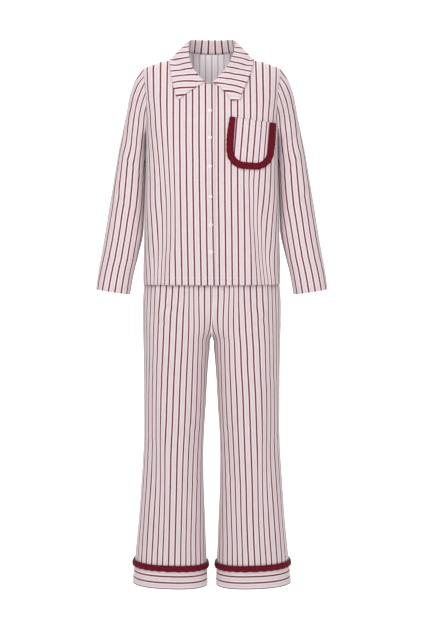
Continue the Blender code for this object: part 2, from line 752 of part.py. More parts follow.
def leg_panel(side, face):
    grid = np.array([[leg_point(side, way, drop, face) for way in LEG_COLUMNS] for drop in LEG_DROPS])
    return grid if side * face > 0 else grid[:, ::-1]


def leg_ring(side, drop, count, lifts):
    """A closed ring round one leg, lifted off it: the outer seam first, then the front."""
    points = []
    for j in range(count):
        turn = 2 * j / count
        face = -1 if turn < 1 else 1
        points.append(leg_point(side, turn if turn < 1 else 2 - turn, drop, face, lifts[j]))
    return np.array(points)


def cuff(side):
    even = np.full(RING_COLUMNS, 1e-6)
    grid = np.array([leg_ring(side, drop, RING_COLUMNS, even) for drop in (CUFF_SEAM, LEG_HEM)])
    return grid[:, ::-1] if side > 0 else grid


def leg_frill(side):
    count = LEG_WAVES * POINTS_A_WAVE
    waves = np.sin(2 * pi * np.arange(count) / POINTS_A_WAVE)
    rows = []
    for across, rise, wave in zip(*FRILL.values()):
        lifts = DOUBLED + SEAM + rise + wave * waves
        rows.append(leg_ring(side, CUFF_SEAM - FRILL_ABOVE + across * LEG_FRILL, count, lifts))
    grid = np.array(rows)
    return grid[:, ::-1] if side > 0 else grid


def waistband():
    """A plain ring above the trousers' waist seam."""
    rows = []
    for drop in (WAIST, WAIST_SEAM - SEAM):
        ring = []
        for turn in np.arange(RING_COLUMNS) * 2 * pi / RING_COLUMNS:
            square = read(LEG, "square", drop)
            depth = read(LEG, "front" if sin(turn) < 0 else "back", drop)
            x = read(LEG, "outer", drop) * power(cos(turn), square)
            ring.append((x, LEG_RIDGE + depth * power(sin(turn), square), -drop))
        rows.append(ring)
    return np.array(rows)


# ---------------------------------------------------------------- the set


def main():
    for old in list(bpy.data.objects):
        bpy.data.objects.remove(old)
    bpy.context.scene.collection.children.link(bpy.data.collections.new(COLLECTION))

    cloth("front_right", front_panel(-1), STRIPED_CLOTH)
    cloth("front_left", front_panel(1), STRIPED_CLOTH)
    cloth("back", back_panel(), STRIPED_CLOTH)
    cloth("collar", collar(), STRIPED_CLOTH, DOUBLED)
    for name, side in (("right", -1), ("left", 1)):
        cloth(f"sleeve_{name}", sleeve(side), STRIPED_CLOTH, ring=True)
    cloth("pocket", pocket(), STRIPED_CLOTH)
    cloth("pocket_ruffle", pocket_frill(), BURGUNDY_CLOTH, DOUBLED)
    for number, (drop, x) in enumerate(zip(*BUTTONS.values()), start=1):
        button(number, drop, x)

    cloth("waistband", waistband(), STRIPED_CLOTH, ELASTIC, ring=True)
    for name, side in (("right", -1), ("left", 1)):
        cloth(f"trouser_front_{name}", leg_panel(side, -1), STRIPED_CLOTH)
        cloth(f"trouser_back_{name}", leg_panel(side, 1), STRIPED_CLOTH)
        cloth(f"leg_ruffle_{name}", leg_frill(side), BURGUNDY_CLOTH, DOUBLED, ring=True)
        cloth(f"cuff_{name}", cuff(side), STRIPED_CLOTH, DOUBLED, ring=True)


main()
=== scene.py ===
"""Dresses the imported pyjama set: fine cloth shells on the form of its solids, with stripes, soft folds,
sewing and buttons, on a pale ground in soft studio light.

Tables and sizes are in millimetres, as in the model: +Z is up, the front faces -Y and +X is the wearer's
left. "Drop" is the distance below the origin, "side" is -1 for the wearer's right and +1 for the left, and
"face" is -1 for the front and +1 for the back. A piece's UV map is its cut cloth laid flat, counted in
stripes: a red stripe runs wherever its first coordinate is a whole number.
"""

from math import cos, pi, radians, sin, tan

import bpy
import numpy as np
from mathutils import Matrix, Vector


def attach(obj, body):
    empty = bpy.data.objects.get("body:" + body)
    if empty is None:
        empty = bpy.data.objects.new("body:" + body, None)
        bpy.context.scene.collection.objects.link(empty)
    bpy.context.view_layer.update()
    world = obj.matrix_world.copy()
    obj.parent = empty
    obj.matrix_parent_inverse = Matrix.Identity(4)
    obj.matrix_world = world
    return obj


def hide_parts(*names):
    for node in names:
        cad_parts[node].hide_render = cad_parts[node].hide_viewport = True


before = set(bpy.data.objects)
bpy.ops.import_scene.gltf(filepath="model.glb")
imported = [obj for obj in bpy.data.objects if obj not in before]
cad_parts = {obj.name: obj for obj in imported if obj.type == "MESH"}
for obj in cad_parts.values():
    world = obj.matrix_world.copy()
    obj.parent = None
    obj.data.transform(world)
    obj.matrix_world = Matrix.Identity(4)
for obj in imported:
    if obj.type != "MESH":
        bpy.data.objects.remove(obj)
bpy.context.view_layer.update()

MM = 0.001
BODY = "root"

# Walls and gaps of the solids
CLOTH = 1.3
DOUBLED = 1.6
SEAM = 0.3
LAYER = CLOTH + SEAM

# Walls of the shells
SHOWN_CLOTH = 0.8
SHOWN_DOUBLED = 1.3
SHOWN_ELASTIC = 2.2

STRIPE_PITCH = 16.8


def table(columns, *rows):
    """A table by column name. Where it is read between its rows, its first column rises."""
    return dict(zip(columns.split(), np.array(rows, float).T))


# ---------------------------------------------------------------- the solids' own form

BODY_SECTIONS = table(
    "drop half_width front back square",
    (-10, 192.0, 64, 62, 3.4),
    (60, 190.0, 80, 82, 3.6),
    (90, 186.0, 90, 92, 3.8),
    (120, 182.0, 98, 98, 4.0),
    (150, 179.5, 106, 102, 4.1),
    (180, 176.8, 111, 103, 4.2),
    (212, 175.3, 112, 101, 4.2),
    (310, 176.5, 108, 95, 4.0),
    (390, 180.0, 105, 96, 3.8),
    (500, 182.0, 105, 103, 3.8),
    (577, 184.0, 108, 109, 3.8),
    (620, 184.0, 110, 113, 3.8),
)
SHIRT_HEM = 613
RIDGE = 4  # y of the shoulder and side seams

SHOULDER_START = 60  # x
SHOULDER_SLOPE = 0.362
NECK_LIFT = 9.4
NECK_LIFT_END = 110  # x
TIP_LIFT = 5.8
TIP_LIFT_RISE = (104, 140)  # x
NECK_SIDE = 68  # x where the shoulder seam meets the neckline
NECK_COLUMN = 0.05
FRONT_ROUND = 120
BACK_ROUND = 100

NECK_CORNER = 0.42
NECKLINE = table(
    "way x drop",
    (0.00, 0, -3.0),
    (0.12, 27, -3.5),
    (0.24, 49, -4.2),
    (0.34, 62, -4.4),
    (0.42, 68, -3.7),
    (0.52, 67, 11),
    (0.62, 63, 28),
    (0.72, 55, 46),
    (0.82, 43, 64.5),
    (0.92, 27, 80.5),
    (1.00, 10, 88),
)

BACK_NECK = 5  # its first points lie behind, up to the shoulder seam

ARMHOLE_TOP = 38.0
ARMHOLE_FOOT = 212
ARMHOLE = table(
    "drop way",
    (40, 0.620),
    (143, 0.620),
    (175, 0.652),
    (195, 0.709),
    (206, 0.782),
    (210, 0.850),
    (212, 1.000),
)

# Rows of a front from the shoulder seam to the armhole's foot, by the turn round the armhole in degrees:
# where they start on the neckline, and below it on the front edge
NECK_ROWS = table(
    "turn way",
    (0, 0.42),
    (6, 0.47),
    (20, 0.56),
    (40, 0.66),
    (60, 0.77),
    (80, 0.88),
    (100, 1.00),
)
EDGE_ROWS = table(
    "turn drop",
    (100, 88),
    (120, 90.5),
    (140, 114),
    (160, 146),
    (180, 186),
)
LEVEL_DROP = 245  # below this a front's rows run level
RIGHT_EDGE = 8
LEFT_EDGE = -17
OVERLAP_RISE = (-40, -24)
TUCK_UNDER = (12, -6)
TUCKED = 0.8

FRONT_FOLDS = table(
    "x top bottom width depth drift",
    (-137, 250, 700, 15, 5.0, 8),
    (-88, 430, 700, 18, 2.0, -5),
    (62, 400, 700, 20, 2.0, 4),
    (116, 350, 700, 13, 4.0, 6),
    (146, 300, 700, 12, 4.0, -6),
)
BACK_FOLDS = table(
    "x top bottom width depth drift",
    (-132, 260, 700, 16, 4.5, 6),
    (-70, 360, 700, 20, 3.5, -6),
    (5, 420, 700, 22, 3.0, 4),
    (78, 340, 700, 20, 4.0, 8),
    (136, 280, 700, 16, 4.5, -6),
)

SLEEVE = table(
    "row out_x out_drop in_x in_drop centre front back",
    (0, 181.0, 38.0, 175.3, 212, 4, 60, 64),
    (1, 191.5, 48.5, 176.6, 216, 5, 59, 63),
    (2, 201.0, 63.5, 176.7, 224, 6, 58, 62),
    (3, 209.5, 82.0, 176.6, 233, 8, 57, 61),
    (4, 217.0, 104, 176.6, 245, 9, 56, 60),
    (5, 223.8, 132, 176.9, 260, 10, 55, 59),
    (6, 230.0, 166, 177.2, 280, 10, 54, 57),
    (7, 238.5, 205, 177.6, 304, 10, 52, 55),
    (8, 249.0, 252, 178.6, 332, 8, 50, 53),
    (9, 257.5, 304, 180.0, 364, 5, 48, 51),
    (10, 266.5, 358, 181.3, 400, 1, 46, 49),
    (11, 276.0, 414, 182.3, 440, -4, 44, 47),
    (12, 284.7, 470, 184.5, 485, -10, 42, 45),
    (13, 294.0, 526, 196.0, 535, -16, 40, 43),
    (14, 304.0, 580, 209.5, 590, -22, 39, 41),
    (15, 310.5, 627, 218.5, 641, -26, 38, 40),
)
SLEEVE_SQUARE = 2.4
OWN_SHAPE_ROW = 5
HEAD_GAP = 0.45
FOOT_GAP = 0.9
HEAD_TUCKS = 7
TUCK_DEPTH = 1.6
SLEEVE_FOLDS = table(
    "row turn length width depth",
    (5.2, 250, 0.55, 42, 5.0),
    (6.8, 80, 0.70, 38, 4.0),
    (8.6, 300, 0.60, 45, 4.5),
    (10.3, 60, 0.70, 40, 3.5),
    (12.4, 280, 0.80, 40, 3.0),
)

# Collar as in the solids, with the stripe that runs at each station's place on the roll and the outer edge
COLLAR_RIGHT = table(
    "station way roll_x roll_y roll_z edge_x edge_y edge_z roll_stripe edge_stripe",
    (0, 0.00, 0, 66, 42, 0, 86, -18, 0.5, 0.5),
    (1, 0.12, 25, 64, 42, 38, 84, -20, 1.83, 2.6),
    (2, 0.24, 48, 50, 41, 76, 66, -23, 3.05, 4.9),
    (3, 0.34, 61, 28, 38, 102, 36, -24, 4.15, 7.05),
    (4, 0.42, 65, 4, 30, 114, 6, -21, 5.85, 8.85),
    (5, 0.51, 65, -20, 13, 112.5, -22, -31, 7.24, 9.5),
    (6, 0.60, 63.5, -40, -8, 110, -38, -48, 8.62, 10.3),
    (7, 0.69, 59, -57, -26, 107.5, -52, -66, 9.88, 11.35),
    (8, 0.78, 52.5, -69, -44, 104.5, -64, -83, 10.98, 12.5),
    (9, 0.86, 41, -78.5, -60, 100.5, -76, -100, 11.9, 13.75),
    (10, 0.94, 29, -86, -73.5, 95, -84, -118, 12.6, 14.9),
    (11, 0.98, 17, -89, -81.5, 85.5, -90, -128, 13.2, 15.5),
)
COLLAR_LEFT = table(
    "station way roll_x roll_y roll_z edge_x edge_y edge_z roll_stripe edge_stripe",
    (0, 0.00, 0, 66, 42, 0, 86, -18, 0.5, 0.5),
    (1, 0.12, 25, 64, 42, 38, 84, -20, 1.83, 2.6),
    (2, 0.24, 47, 50, 41, 76, 66, -23, 3.05, 4.9),
    (3, 0.34, 60, 28, 39, 101, 36, -24, 4.15, 7.1),
    (4, 0.42, 65, 4, 30, 112.5, 6, -20, 5.85, 8.8),
    (5, 0.51, 64, -20, 12, 110.5, -22, -29, 7.2, 9.2),
    (6, 0.60, 59, -40, -6, 107.5, -38, -43, 8.58, 10.05),
    (7, 0.69, 51.5, -57, -24, 103, -52, -61, 9.88, 11.1),
    (8, 0.78, 42, -69, -41, 96.5, -64, -79, 11.03, 12.3),
    (9, 0.86, 30, -78, -55, 88.5, -76, -96, 11.98, 13.5),
    (10, 0.94, 17, -85, -69, 78, -84, -114, 12.98, 14.9),
    (10.6, 0.96, 9, -87.6, -76.8, 71.5, -88, -128, 13.6, 15.85),
    (11, 0.98, 4, -89, -81.5, 50, -90.5, -131, 13.9, 16),
)
ROLL_RADIUS = 2.1
STAND_GAP = 1.5
COLLAR_CROWN = 3.5
COLLAR_REST = 1.0

BUTTON_WIDTH = 10.5
BUTTON_THICK = 2.4
BUTTON_REST = 0.5
BUTTONS = table(
    "drop x",
    (157.3, -5.3),
    (227.1, -5.1),
    (301.0, -5.0),
    (380.3, -3.9),
    (454.6, -2.8),
    (524.7, -2.0),
)

POCKET_X = 107
POCKET_DROP = 181
POCKET_TURN = radians(4.5)
POCKET_SLANT = tan(radians(3.5))
POCKET_HALF = 44.5
POCKET_HEIGHT = 111.5
POCKET_CORNER = 30
POCKET_REST = 0.3
POCKET_FRILL = 17.5
POCKET_WAVES = 22

LEG = table(
    "drop outer inner front back square",
    (424, 141, -141, 84, 86, 2.4),
    (456, 143, -143, 86, 88, 2.4),
    (500, 152, -150, 90, 93, 2.5),
    (550, 168, -155, 95.6, 98, 2.7),
    (600, 180.7, -150, 98.8, 102, 2.9),
    (625, 183.6, -130, 99.8, 106, 2.9),
    (658, 186.2, -95, 100, 110, 2.8),
    (690, 186.6, -58, 100, 112, 2.7),
    (720, 186.5, -29, 98, 111, 2.6),
    (740, 186.3, -13, 97, 110, 2.5),
    (757, 186.0, 0.3, 95, 108, 2.4),
    (794, 185.3, 5.5, 92, 103, 2.3),
    (875, 184.2, 12.2, 88, 96, 2.3),
    (930, 184.3, 15.0, 85, 92, 2.3),
    (1040, 185.0, 21.5, 80, 87, 2.3),
    (1150, 191.5, 21.8, 78, 84, 2.3),
    (1260, 199.3, 17.8, 78, 83, 2.3),
    (1343, 207.5, 15.0, 79, 82, 2.3),
    (1370, 210.0, 13.5, 80, 82, 2.3),
    (1440, 217.5, 11.0, 82, 84, 2.3),
)
FORK = 757
FORK_GAP = 0.45
LEG_RIDGE = 4
LEG_TILT = tan(radians(2.0))
TILT_START = 800
WAIST = 424
WAIST_SEAM = 456
CUFF_SEAM = 1370
LEG_HEM = 1432
LEG_FOLDS = table(
    "drop way length width depth",
    (700, 0.42, 60, 0.10, 3.0),
    (690, 0.68, 50, 0.09, 3.0),
    (1010, 0.30, 110, 0.12, 3.5),
    (1080, 0.72, 120, 0.12, 3.5),
    (1250, 0.50, 130, 0.14, 4.0),
)
LEG_FRILL = 16
LEG_WAVES = 29
FRILL_ABOVE = 1.5

# ---------------------------------------------------------------- finer form and the cloth's lie

# Soft creases: each runs from one point to another, bows to one side, and lies in from the surface with a low
# ridge along it. On the shirt's body by x and drop, on a sleeve by mm round from its outer line and down it,
# and on a leg by mm round from its outer seam and drop
FRONT_CREASES = table(
    "start_x start_drop end_x end_drop width depth",
    (-166, 196, -104, 268, 8, 1.9),
    (-160, 330, -96, 300, 9, 1.4),
    (-158, 240, -120, 330, 9, 1.6),
    (-150, 575, -120, 470, 9, 1.6),
    (-62, 600, -48, 500, 10, 1.0),
    (40, 470, 60, 590, 10, 1.1),
    (98, 318, 158, 352, 9, 1.4),
    (120, 560, 152, 450, 9, 1.7),
    (122, 330, 164, 218, 9, 1.7),
)
BACK_CREASES = table(
    "start_x start_drop end_x end_drop width depth",
    (-164, 198, -92, 262, 9, 2.0),
    (-150, 330, -88, 392, 10, 1.7),
    (-60, 120, -20, 240, 12, 1.2),
    (-30, 400, 40, 440, 10, 1.6),
    (30, 110, 74, 250, 12, 1.3),
    (88, 400, 156, 350, 10, 1.8),
    (96, 270, 164, 200, 9, 2.0),
)
SLEEVE_CREASES = table(
    "start_x start_drop end_x end_drop width depth",
    (22, 296, 92, 250, 7, 1.7),
    (30, 408, 96, 448, 7, 1.6),
    (36, 350, 118, 318, 7, 1.8),
    (40, 560, 100, 530, 7, 1.2),
    (168, 300, 236, 340, 7, 1.8),
    (176, 430, 250, 402, 7, 1.7),
    (190, 196, 240, 250, 7, 1.5),
)
LEG_CREASES = table(
    "start_x start_drop end_x end_drop width depth",
    (30, 1010, 118, 1052, 10, 1.6),
    (52, 820, 140, 902, 11, 1.5),
    (60, 1290, 150, 1262, 10, 1.6),
    (112, 690, 214, 742, 10, 2.0),
    (120, 1150, 220, 1118, 10, 1.7),
    (140, 640, 232, 700, 10, 1.7),
    (158, 980, 240, 1020, 10, 1.4),
)
CREASE_BOW = 0.10  # of its length
CREASE_RIDGE = 0.55  # of its depth
RIDGE_OFF = 1.8  # from the crease, in its widths
CREASE_FADE = 0.3  # of its length, where it begins
CREASE_FADE_OUT = 0.5  # of its length, from where it fades to its end
FOLD_GROWTH = 170  # mm down which a fold of the body grows to its full depth
FOLD_FADE = (5, 45)  # mm of depth over which folds fade in from the side seams
FOLD_WIDTH = 0.6  # of its spread, for each of the two long folds

# Points of the shells
NECK_TURNS = 56  # rows from the shoulder seam to the armhole's foot
BODY_ROWS = 84  # rows below it
FRONT_COLUMNS = 60
BACK_COLUMNS = 52  # on each half
SLEEVE_COLUMNS = 96
SLEEVE_STEP = 0.125  # of the sleeve's rows
SLEEVE_START = (0, 0.08, 0.16)  # rows at its head, before the even steps
HEAD_WAY = 0.35  # row that gives the way in which the head stands off its seam
COLLAR_STATIONS = 100  # on each half
LEG_STEP = 6.0
LEG_COLUMNS = 58
RING_COLUMNS = 150
POINTS_A_WAVE = 14

# A soft fold runs down each front, out from the chest. By drop: how many stripes the cloth is moved over
# as a whole, where the fold lies, its half width, and how many stripes of cloth it takes up. Towards the
# armhole's top the cloth is eased instead, which spreads the stripes
RIGHT_FOLD = table(
    "drop moved place spread taken",
    (40, 0.00, 160, 45, -0.80),
    (110, 0.01, 160, 45, -0.60),
    (157, 0.02, 140, 42, 0.00),
    (196, 0.01, 123, 38, 0.12),
    (235, 0.01, 124, 36, 0.40),
    (287, 0.05, 122, 34, 0.72),
    (339, 0.06, 115, 32, 0.90),
    (391, 0.11, 109, 24, 0.92),
    (443, 0.16, 113, 26, 1.15),
    (495, 0.20, 118, 28, 1.34),
    (548, 0.27, 130, 28, 1.60),
    (613, 0.34, 143, 32, 2.00),
)
LEFT_FOLD = table(
    "drop moved place spread taken",
    (40, 0.06, 160, 45, -0.80),
    (110, 0.02, 160, 45, -0.60),
    (157, 0.00, 140, 42, 0.00),
    (196, 0.00, 121, 38, 0.15),
    (235, 0.00, 120, 36, 0.30),
    (287, 0.00, 112, 30, 0.48),
    (339, -0.01, 102, 22, 0.62),
    (391, -0.04, 108, 20, 0.90),
    (443, -0.09, 112, 22, 1.34),
    (495, -0.13, 121, 24, 1.65),
    (548, -0.16, 130, 26, 2.00),
    (613, -0.21, 142, 30, 1.80),
)
FOLD_PRESS = 2.4  # mm that a fold goes in for each stripe it takes up

# The stripes of the legs: x of the sixth from the centre seam on each leg, and how many stripes of cloth the
# soft folds take up towards the inner and the outer seam, with the x where they do
LEG_STRIPES = table(
    "drop right left inner inner_x outer outer_x",
    (456, 84, 81, 0.80, 54, 0.60, 165),
    (657, 89, 86, 0.85, 52, 0.70, 165),
    (693, 92, 88, 0.65, 46, 0.68, 163),
    (735, 94, 90, 0.52, 42, 0.72, 161),
    (779, 96, 93, 0.34, 42, 0.68, 160),
    (833, 99, 95, 0.22, 42, 0.58, 159),
    (900, 102, 99, 0.04, 45, 0.62, 158),
    (981, 105, 102, 0.08, 52, 0.66, 154),
    (1064, 109, 105, 0.24, 60, 0.80, 144),
    (1146, 111, 108, 0.38, 66, 0.74, 137),
    (1228, 113, 110, 0.55, 66, 0.52, 135),
    (1310, 115, 113, 0.58, 68, 0.36, 138),
    (1352, 116, 115, 0.46, 68, 0.28, 142),
    (1440, 118, 118, 0.40, 68, 0.25, 142),
)
# How far the stripes of a sleeve are moved round it, in stripes, towards its outer line and towards the arm's
# inner side, where the head's and the elbow's cloth is bunched
SLEEVE_STRIPES = table(
    "row outer inner",
    (0, -1.90, -3.60),
    (1, -1.90, -3.60),
    (3, -2.10, -3.90),
    (4, -2.20, -4.00),
    (5, -2.40, -4.10),
    (6, -2.50, -4.10),
    (7, -2.15, -3.60),
    (8, -1.90, -3.10),
    (9, -1.90, -2.60),
    (10.4, -1.80, -2.00),
    (12, -1.88, -1.70),
    (13.4, -1.72, -1.68),
    (15, -1.45, -1.55),
)
BUNCHED_TURNS = (radians(50), radians(150))
# At the head, where the eased cloth hangs in straight lines: x of one stripe and the stripes' distance over
# the front, by drop
HEAD_STRIPES = table(
    "drop x distance",
    (58, 171.0, 13.3),
    (74, 183.0, 13.2),
    (90, 190.5, 13.3),
    (105, 194.0, 14.2),
    (126, 197.2, 14.8),
    (147, 201.2, 14.0),
    (163, 204.8, 13.9),
    (192, 208.3, 14.1),
    (223, 212.2, 14.1),
    (257, 215.8, 14.1),
    (289, 222.0, 14.6),
    (323, 228.0, 15.2),
)
HEAD_STRIPE = 2  # the number of that stripe
HEAD_ROWS = (8.5, 6.0)
LEAST_STRIPES = 0.55  # in a stripe pitch of cloth, where it turns away to the outer side

COUNTED_STRIPE = 6
INNER_SPREAD = 30
OUTER_SPREAD = 24


def smooth(keys, values, at):
    """A smooth curve through (keys, values), read at the places `at`."""
    slopes = np.gradient(values, keys)
    at = np.clip(np.asarray(at, float), keys[0], keys[-1])
    start = np.clip(np.searchsorted(keys, at, side="right") - 1, 0, len(keys) - 2)
    span = keys[start + 1] - keys[start]
    t = (at - keys[start]) / span
    return (
        (1 + 2 * t) * (1 - t) ** 2 * values[start]
        + t * (1 - t) ** 2 * span * slopes[start]
        + t * t * (3 - 2 * t) * values[start + 1]
        - t * t * (1 - t) * span * slopes[start + 1]
    )


def read(source, column, at):
    """One column of a table, read smoothly at places along its first column."""
    return smooth(next(iter(source.values())), source[column], at)


def ease(value, start, end):
    """0 before start, 1 after end, and a soft step between."""
    t = np.clip((np.asarray(value, float) - start) / (end - start), 0, 1)
    return t * t * (3 - 2 * t)


def mix(a, b, share):
    return a + (b - a) * share


def bump(value, centre, width):
    return np.exp(-(((value - centre) / width) ** 2))


def power(value, square):
    """A superellipse's coordinate from a cosine or sine."""
    return np.sign(value) * np.abs(value) ** (2 / square)


def lengths(points):
    """Distance along rows of points from their first column."""
    steps = np.linalg.norm(np.diff(points, axis=-2), axis=-1)
    return np.concatenate([np.zeros_like(steps[..., :1]), np.cumsum(steps, axis=-1)], axis=-1)


# ---------------------------------------------------------------- materials


def link(tree, output, socket):
    tree.links.new(output, socket)


def math_node(tree, operation, first, second=None, third=None):
    """A math node, its inputs numbers or sockets."""
    node = tree.nodes.new("ShaderNodeMath")
    node.operation = operation
    for socket, value in zip(node.inputs, (first, second, third)):
        if isinstance(value, (int, float)):
            socket.default_value = value
        elif value is not None:
            link(tree, value, socket)
    return node.outputs[0]


def noise_node(tree, vector, scale, detail=2.0, roughness=0.5):
    node = tree.nodes.new("ShaderNodeTexNoise")
    node.inputs["Scale"].default_value = scale
    node.inputs["Detail"].default_value = detail
    node.inputs["Roughness"].default_value = roughness
    link(tree, vector, node.inputs["Vector"])
    return node.outputs["Fac"]


def ramp_node(tree, factor, *stops):
    """A colour ramp from (place, colour) pairs."""
    node = tree.nodes.new("ShaderNodeValToRGB")
    elements = node.color_ramp.elements
    while len(elements) < len(stops):
        elements.new(1.0)
    for element, (place, colour) in zip(elements, stops):
        element.position = place
        element.color = (*colour, 1.0)
    link(tree, factor, node.inputs["Fac"])
    return node.outputs["Color"]


def scaled(tree, vector, across, along):
    node = tree.nodes.new("ShaderNodeMapping")
    node.inputs["Scale"].default_value = (across, along, 1.0)
    link(tree, vector, node.inputs["Vector"])
    return node.outputs["Vector"]


def tinted(tree, colour, factor, low, high):
    """The colour times a grey that runs from low to high with the factor."""
    grey = ramp_node(tree, factor, (0.3, (low,) * 3), (0.7, (high,) * 3))
    node = tree.nodes.new("ShaderNodeMix")
    node.data_type = "RGBA"
    node.blend_type = "MULTIPLY"
    node.inputs["Factor"].default_value = 1.0
    link(tree, colour, node.inputs["A"])
    link(tree, grey, node.inputs["B"])
    return node.outputs["Result"]


def bumped(tree, height, strength, distance, under=None):
    node = tree.nodes.new("ShaderNodeBump")
    node.inputs["Strength"].default_value = strength
    node.inputs["Distance"].default_value = distance
    link(tree, height, node.inputs["Height"])
    if under is not None:
        link(tree, under, node.inputs["Normal"])
    return node.outputs["Normal"]


def new_material(name, roughness, sheen=0.0, specular=0.3):
    made = bpy.data.materials.new(name)
    made.use_nodes = True
    shader = made.node_tree.nodes["Principled BSDF"]
    shader.inputs["Roughness"].default_value = roughness
    shader.inputs["Specular IOR Level"].default_value = specular
    shader.inputs["Sheen Weight"].default_value = sheen
    shader.inputs["Sheen Roughness"].default_value = 0.5
    return made, made.node_tree, shader


THREADS_A_STRIPE = 44  # threads of the weave in one stripe pitch
STRIPE_WAVER = 0.03  # how far a stripe wavers, in stripes


def cloth_uv(tree):
    """The cloth's UV coordinates, as a vector and as its parts."""
    uv = tree.nodes.new("ShaderNodeUVMap")
    uv.uv_map = "cloth"
    cloth = uv.outputs["UV"]
    return cloth, split_vector(tree, cloth)


def split_vector(tree, vector):
    split = tree.nodes.new("ShaderNodeSeparateXYZ")
    link(tree, vector, split.inputs[0])
    return split.outputs


def weave(tree, cloth, strength):
    """Bump of a plain weave, with the cloth's slight unevenness under it."""
    parts = split_vector(tree, cloth)
    turns = (math_node(tree, "MULTIPLY", parts[axis], pi * THREADS_A_STRIPE) for axis in "XY")
    warp, weft = (math_node(tree, "SINE", turn) for turn in turns)
    height = math_node(tree, "MULTIPLY", warp, weft)
    soft = bumped(tree, noise_node(tree, cloth, 0.9, 3.0, 0.55), 0.35, 0.0016)
    return bumped(tree, height, strength, 0.00012, soft)


def striped_material(name, core, flank, band, weave_strength=0.35):
    """Woven stripes: a red one with a paler flank on each side, and a greyer band midway between two."""
    made, tree, shader = new_material(name, 0.86, sheen=0.12)
    cloth, parts = cloth_uv(tree)
    waver = noise_node(tree, scaled(tree, cloth, 6.0, 2.2), 1.0)
    across = math_node(tree, "MULTIPLY_ADD", waver, STRIPE_WAVER, parts["X"])
    away = math_node(tree, "PINGPONG", math_node(tree, "SUBTRACT", across, STRIPE_WAVER / 2), 0.5)
    pattern = ramp_node(
        tree,
        math_node(tree, "MULTIPLY", away, 2.0),
        (0.0, core),
        (0.225, core),
        (0.29, flank),
        (0.50, flank),
        (0.62, band),
        (1.0, band),
    )
    slub = noise_node(tree, scaled(tree, cloth, THREADS_A_STRIPE * 0.9, 1.6), 1.0, 2.0, 0.6)
    cross = noise_node(tree, scaled(tree, cloth, 2.0, THREADS_A_STRIPE * 0.8), 1.0, 2.0, 0.6)
    coloured = tinted(tree, tinted(tree, pattern, slub, 0.95, 1.03), cross, 0.965, 1.02)
    link(tree, coloured, shader.inputs["Base Color"])
    link(tree, weave(tree, cloth, weave_strength), shader.inputs["Normal"])
    return made


def trim_material(name, low, high):
    """Burgundy cloth, uneven along its gathers, with painted shade that darkens it towards both long edges.
    """
    made, tree, shader = new_material(name, 0.8, sheen=0.02, specular=0.15)
    cloth, parts = cloth_uv(tree)
    patches = noise_node(tree, scaled(tree, cloth, 3.0, 1.5), 1.0, 3.0, 0.6)
    pattern = ramp_node(tree, patches, (0.3, low), (0.7, high))
    # Painted shade: the colour darkens towards both long edges of a frill, where the raised band rolls away
    # from the light.
    edge = math_node(tree, "ABSOLUTE", math_node(tree, "SUBTRACT", parts["Y"], 0.5))
    pattern = tinted(tree, pattern, math_node(tree, "SUBTRACT", 1.0, edge), 0.35, 1.0)
    fine = noise_node(tree, scaled(tree, cloth, THREADS_A_STRIPE, THREADS_A_STRIPE), 1.0)
    link(tree, tinted(tree, pattern, fine, 0.88, 1.08), shader.inputs["Base Color"])
    link(tree, weave(tree, cloth, 0.5), shader.inputs["Normal"])
    return made


def plain_material(name, colour, roughness, specular=0.3, coat=0.0, mottle=0.04, scale=400.0):
    """One colour with a slight mottle."""
    made, tree, shader = new_material(name, roughness, specular=specular)
    shader.inputs["Coat Weight"].default_value = coat
    shader.inputs["Coat Roughness"].default_value = 0.15
    place = tree.nodes.new("ShaderNodeTexCoord")
    patches = noise_node(tree, place.outputs["Object"], scale, 3.0)
    base = ramp_node(tree, patches, (0.0, colour), (1.0, colour))
    link(tree, tinted(tree, base, patches, 1 - mottle, 1 + mottle), shader.inputs["Base Color"])
    link(tree, bumped(tree, patches, 0.15, 0.0002), shader.inputs["Normal"])
    return made


RED_STRIPE = (0.17, 0.028, 0.032)
FLANK = (0.875, 0.70, 0.705)
BAND = (0.64, 0.595, 0.63)
cotton = striped_material("striped_cotton", RED_STRIPE, FLANK, BAND)
# Wrong side of the cloth: its fainter stripes are the cloth's own, and its ground is paler than the right
# side's as painted light that brightens the shaded inside of the shirt.
RED_INSIDE = (0.70, 0.50, 0.52)
FLANK_INSIDE = (0.95, 0.92, 0.94)
BAND_INSIDE = (0.89, 0.88, 0.91)
cotton_inside = striped_material("striped_cotton_inside", RED_INSIDE, FLANK_INSIDE, BAND_INSIDE)
burgundy = trim_material("burgundy_cotton", (0.11, 0.0012, 0.007), (0.175, 0.002, 0.014))
thread = plain_material("white_thread", (0.78, 0.75, 0.74), 0.7)
pearl = plain_material(
    "pearl_button", (0.86, 0.84, 0.83), 0.22, specular=0.5, coat=0.5, mottle=0.03, scale=120.0
)

# ---------------------------------------------------------------- making pieces


def mesh_object(name, points, faces, uvs=None, smooth_shading=True):
    """A mesh object from points in millimetres. uvs holds a pair for each corner of each face."""
    mesh = bpy.data.meshes.new(name)
    mesh.from_pydata((np.asarray(points).reshape(-1, 3) * MM).tolist(), [], faces)
    if smooth_shading:
        mesh.shade_smooth()
    if uvs is not None:
        layer = mesh.uv_layers.new(name="cloth")
        layer.data.foreach_set("uv", np.asarray(uvs, np.float32).ravel())
    made = bpy.data.objects.new(name, mesh)
    bpy.context.scene.collection.objects.link(made)
    return made


def grid_faces(rows, columns, ring):
    """Faces of a grid, and for each corner its row and its column before the ring closes."""
    around = columns if ring else columns - 1
    i, j = (a.ravel() for a in np.meshgrid(np.arange(rows - 1), np.arange(around), indexing="ij"))
    corner_rows = np.stack([i, i + 1, i + 1, i], axis=-1)
    corner_columns = np.stack([j, j, j + 1, j + 1], axis=-1)
    faces = corner_rows * columns + corner_columns % columns
    return faces.tolist(), corner_rows, corner_columns


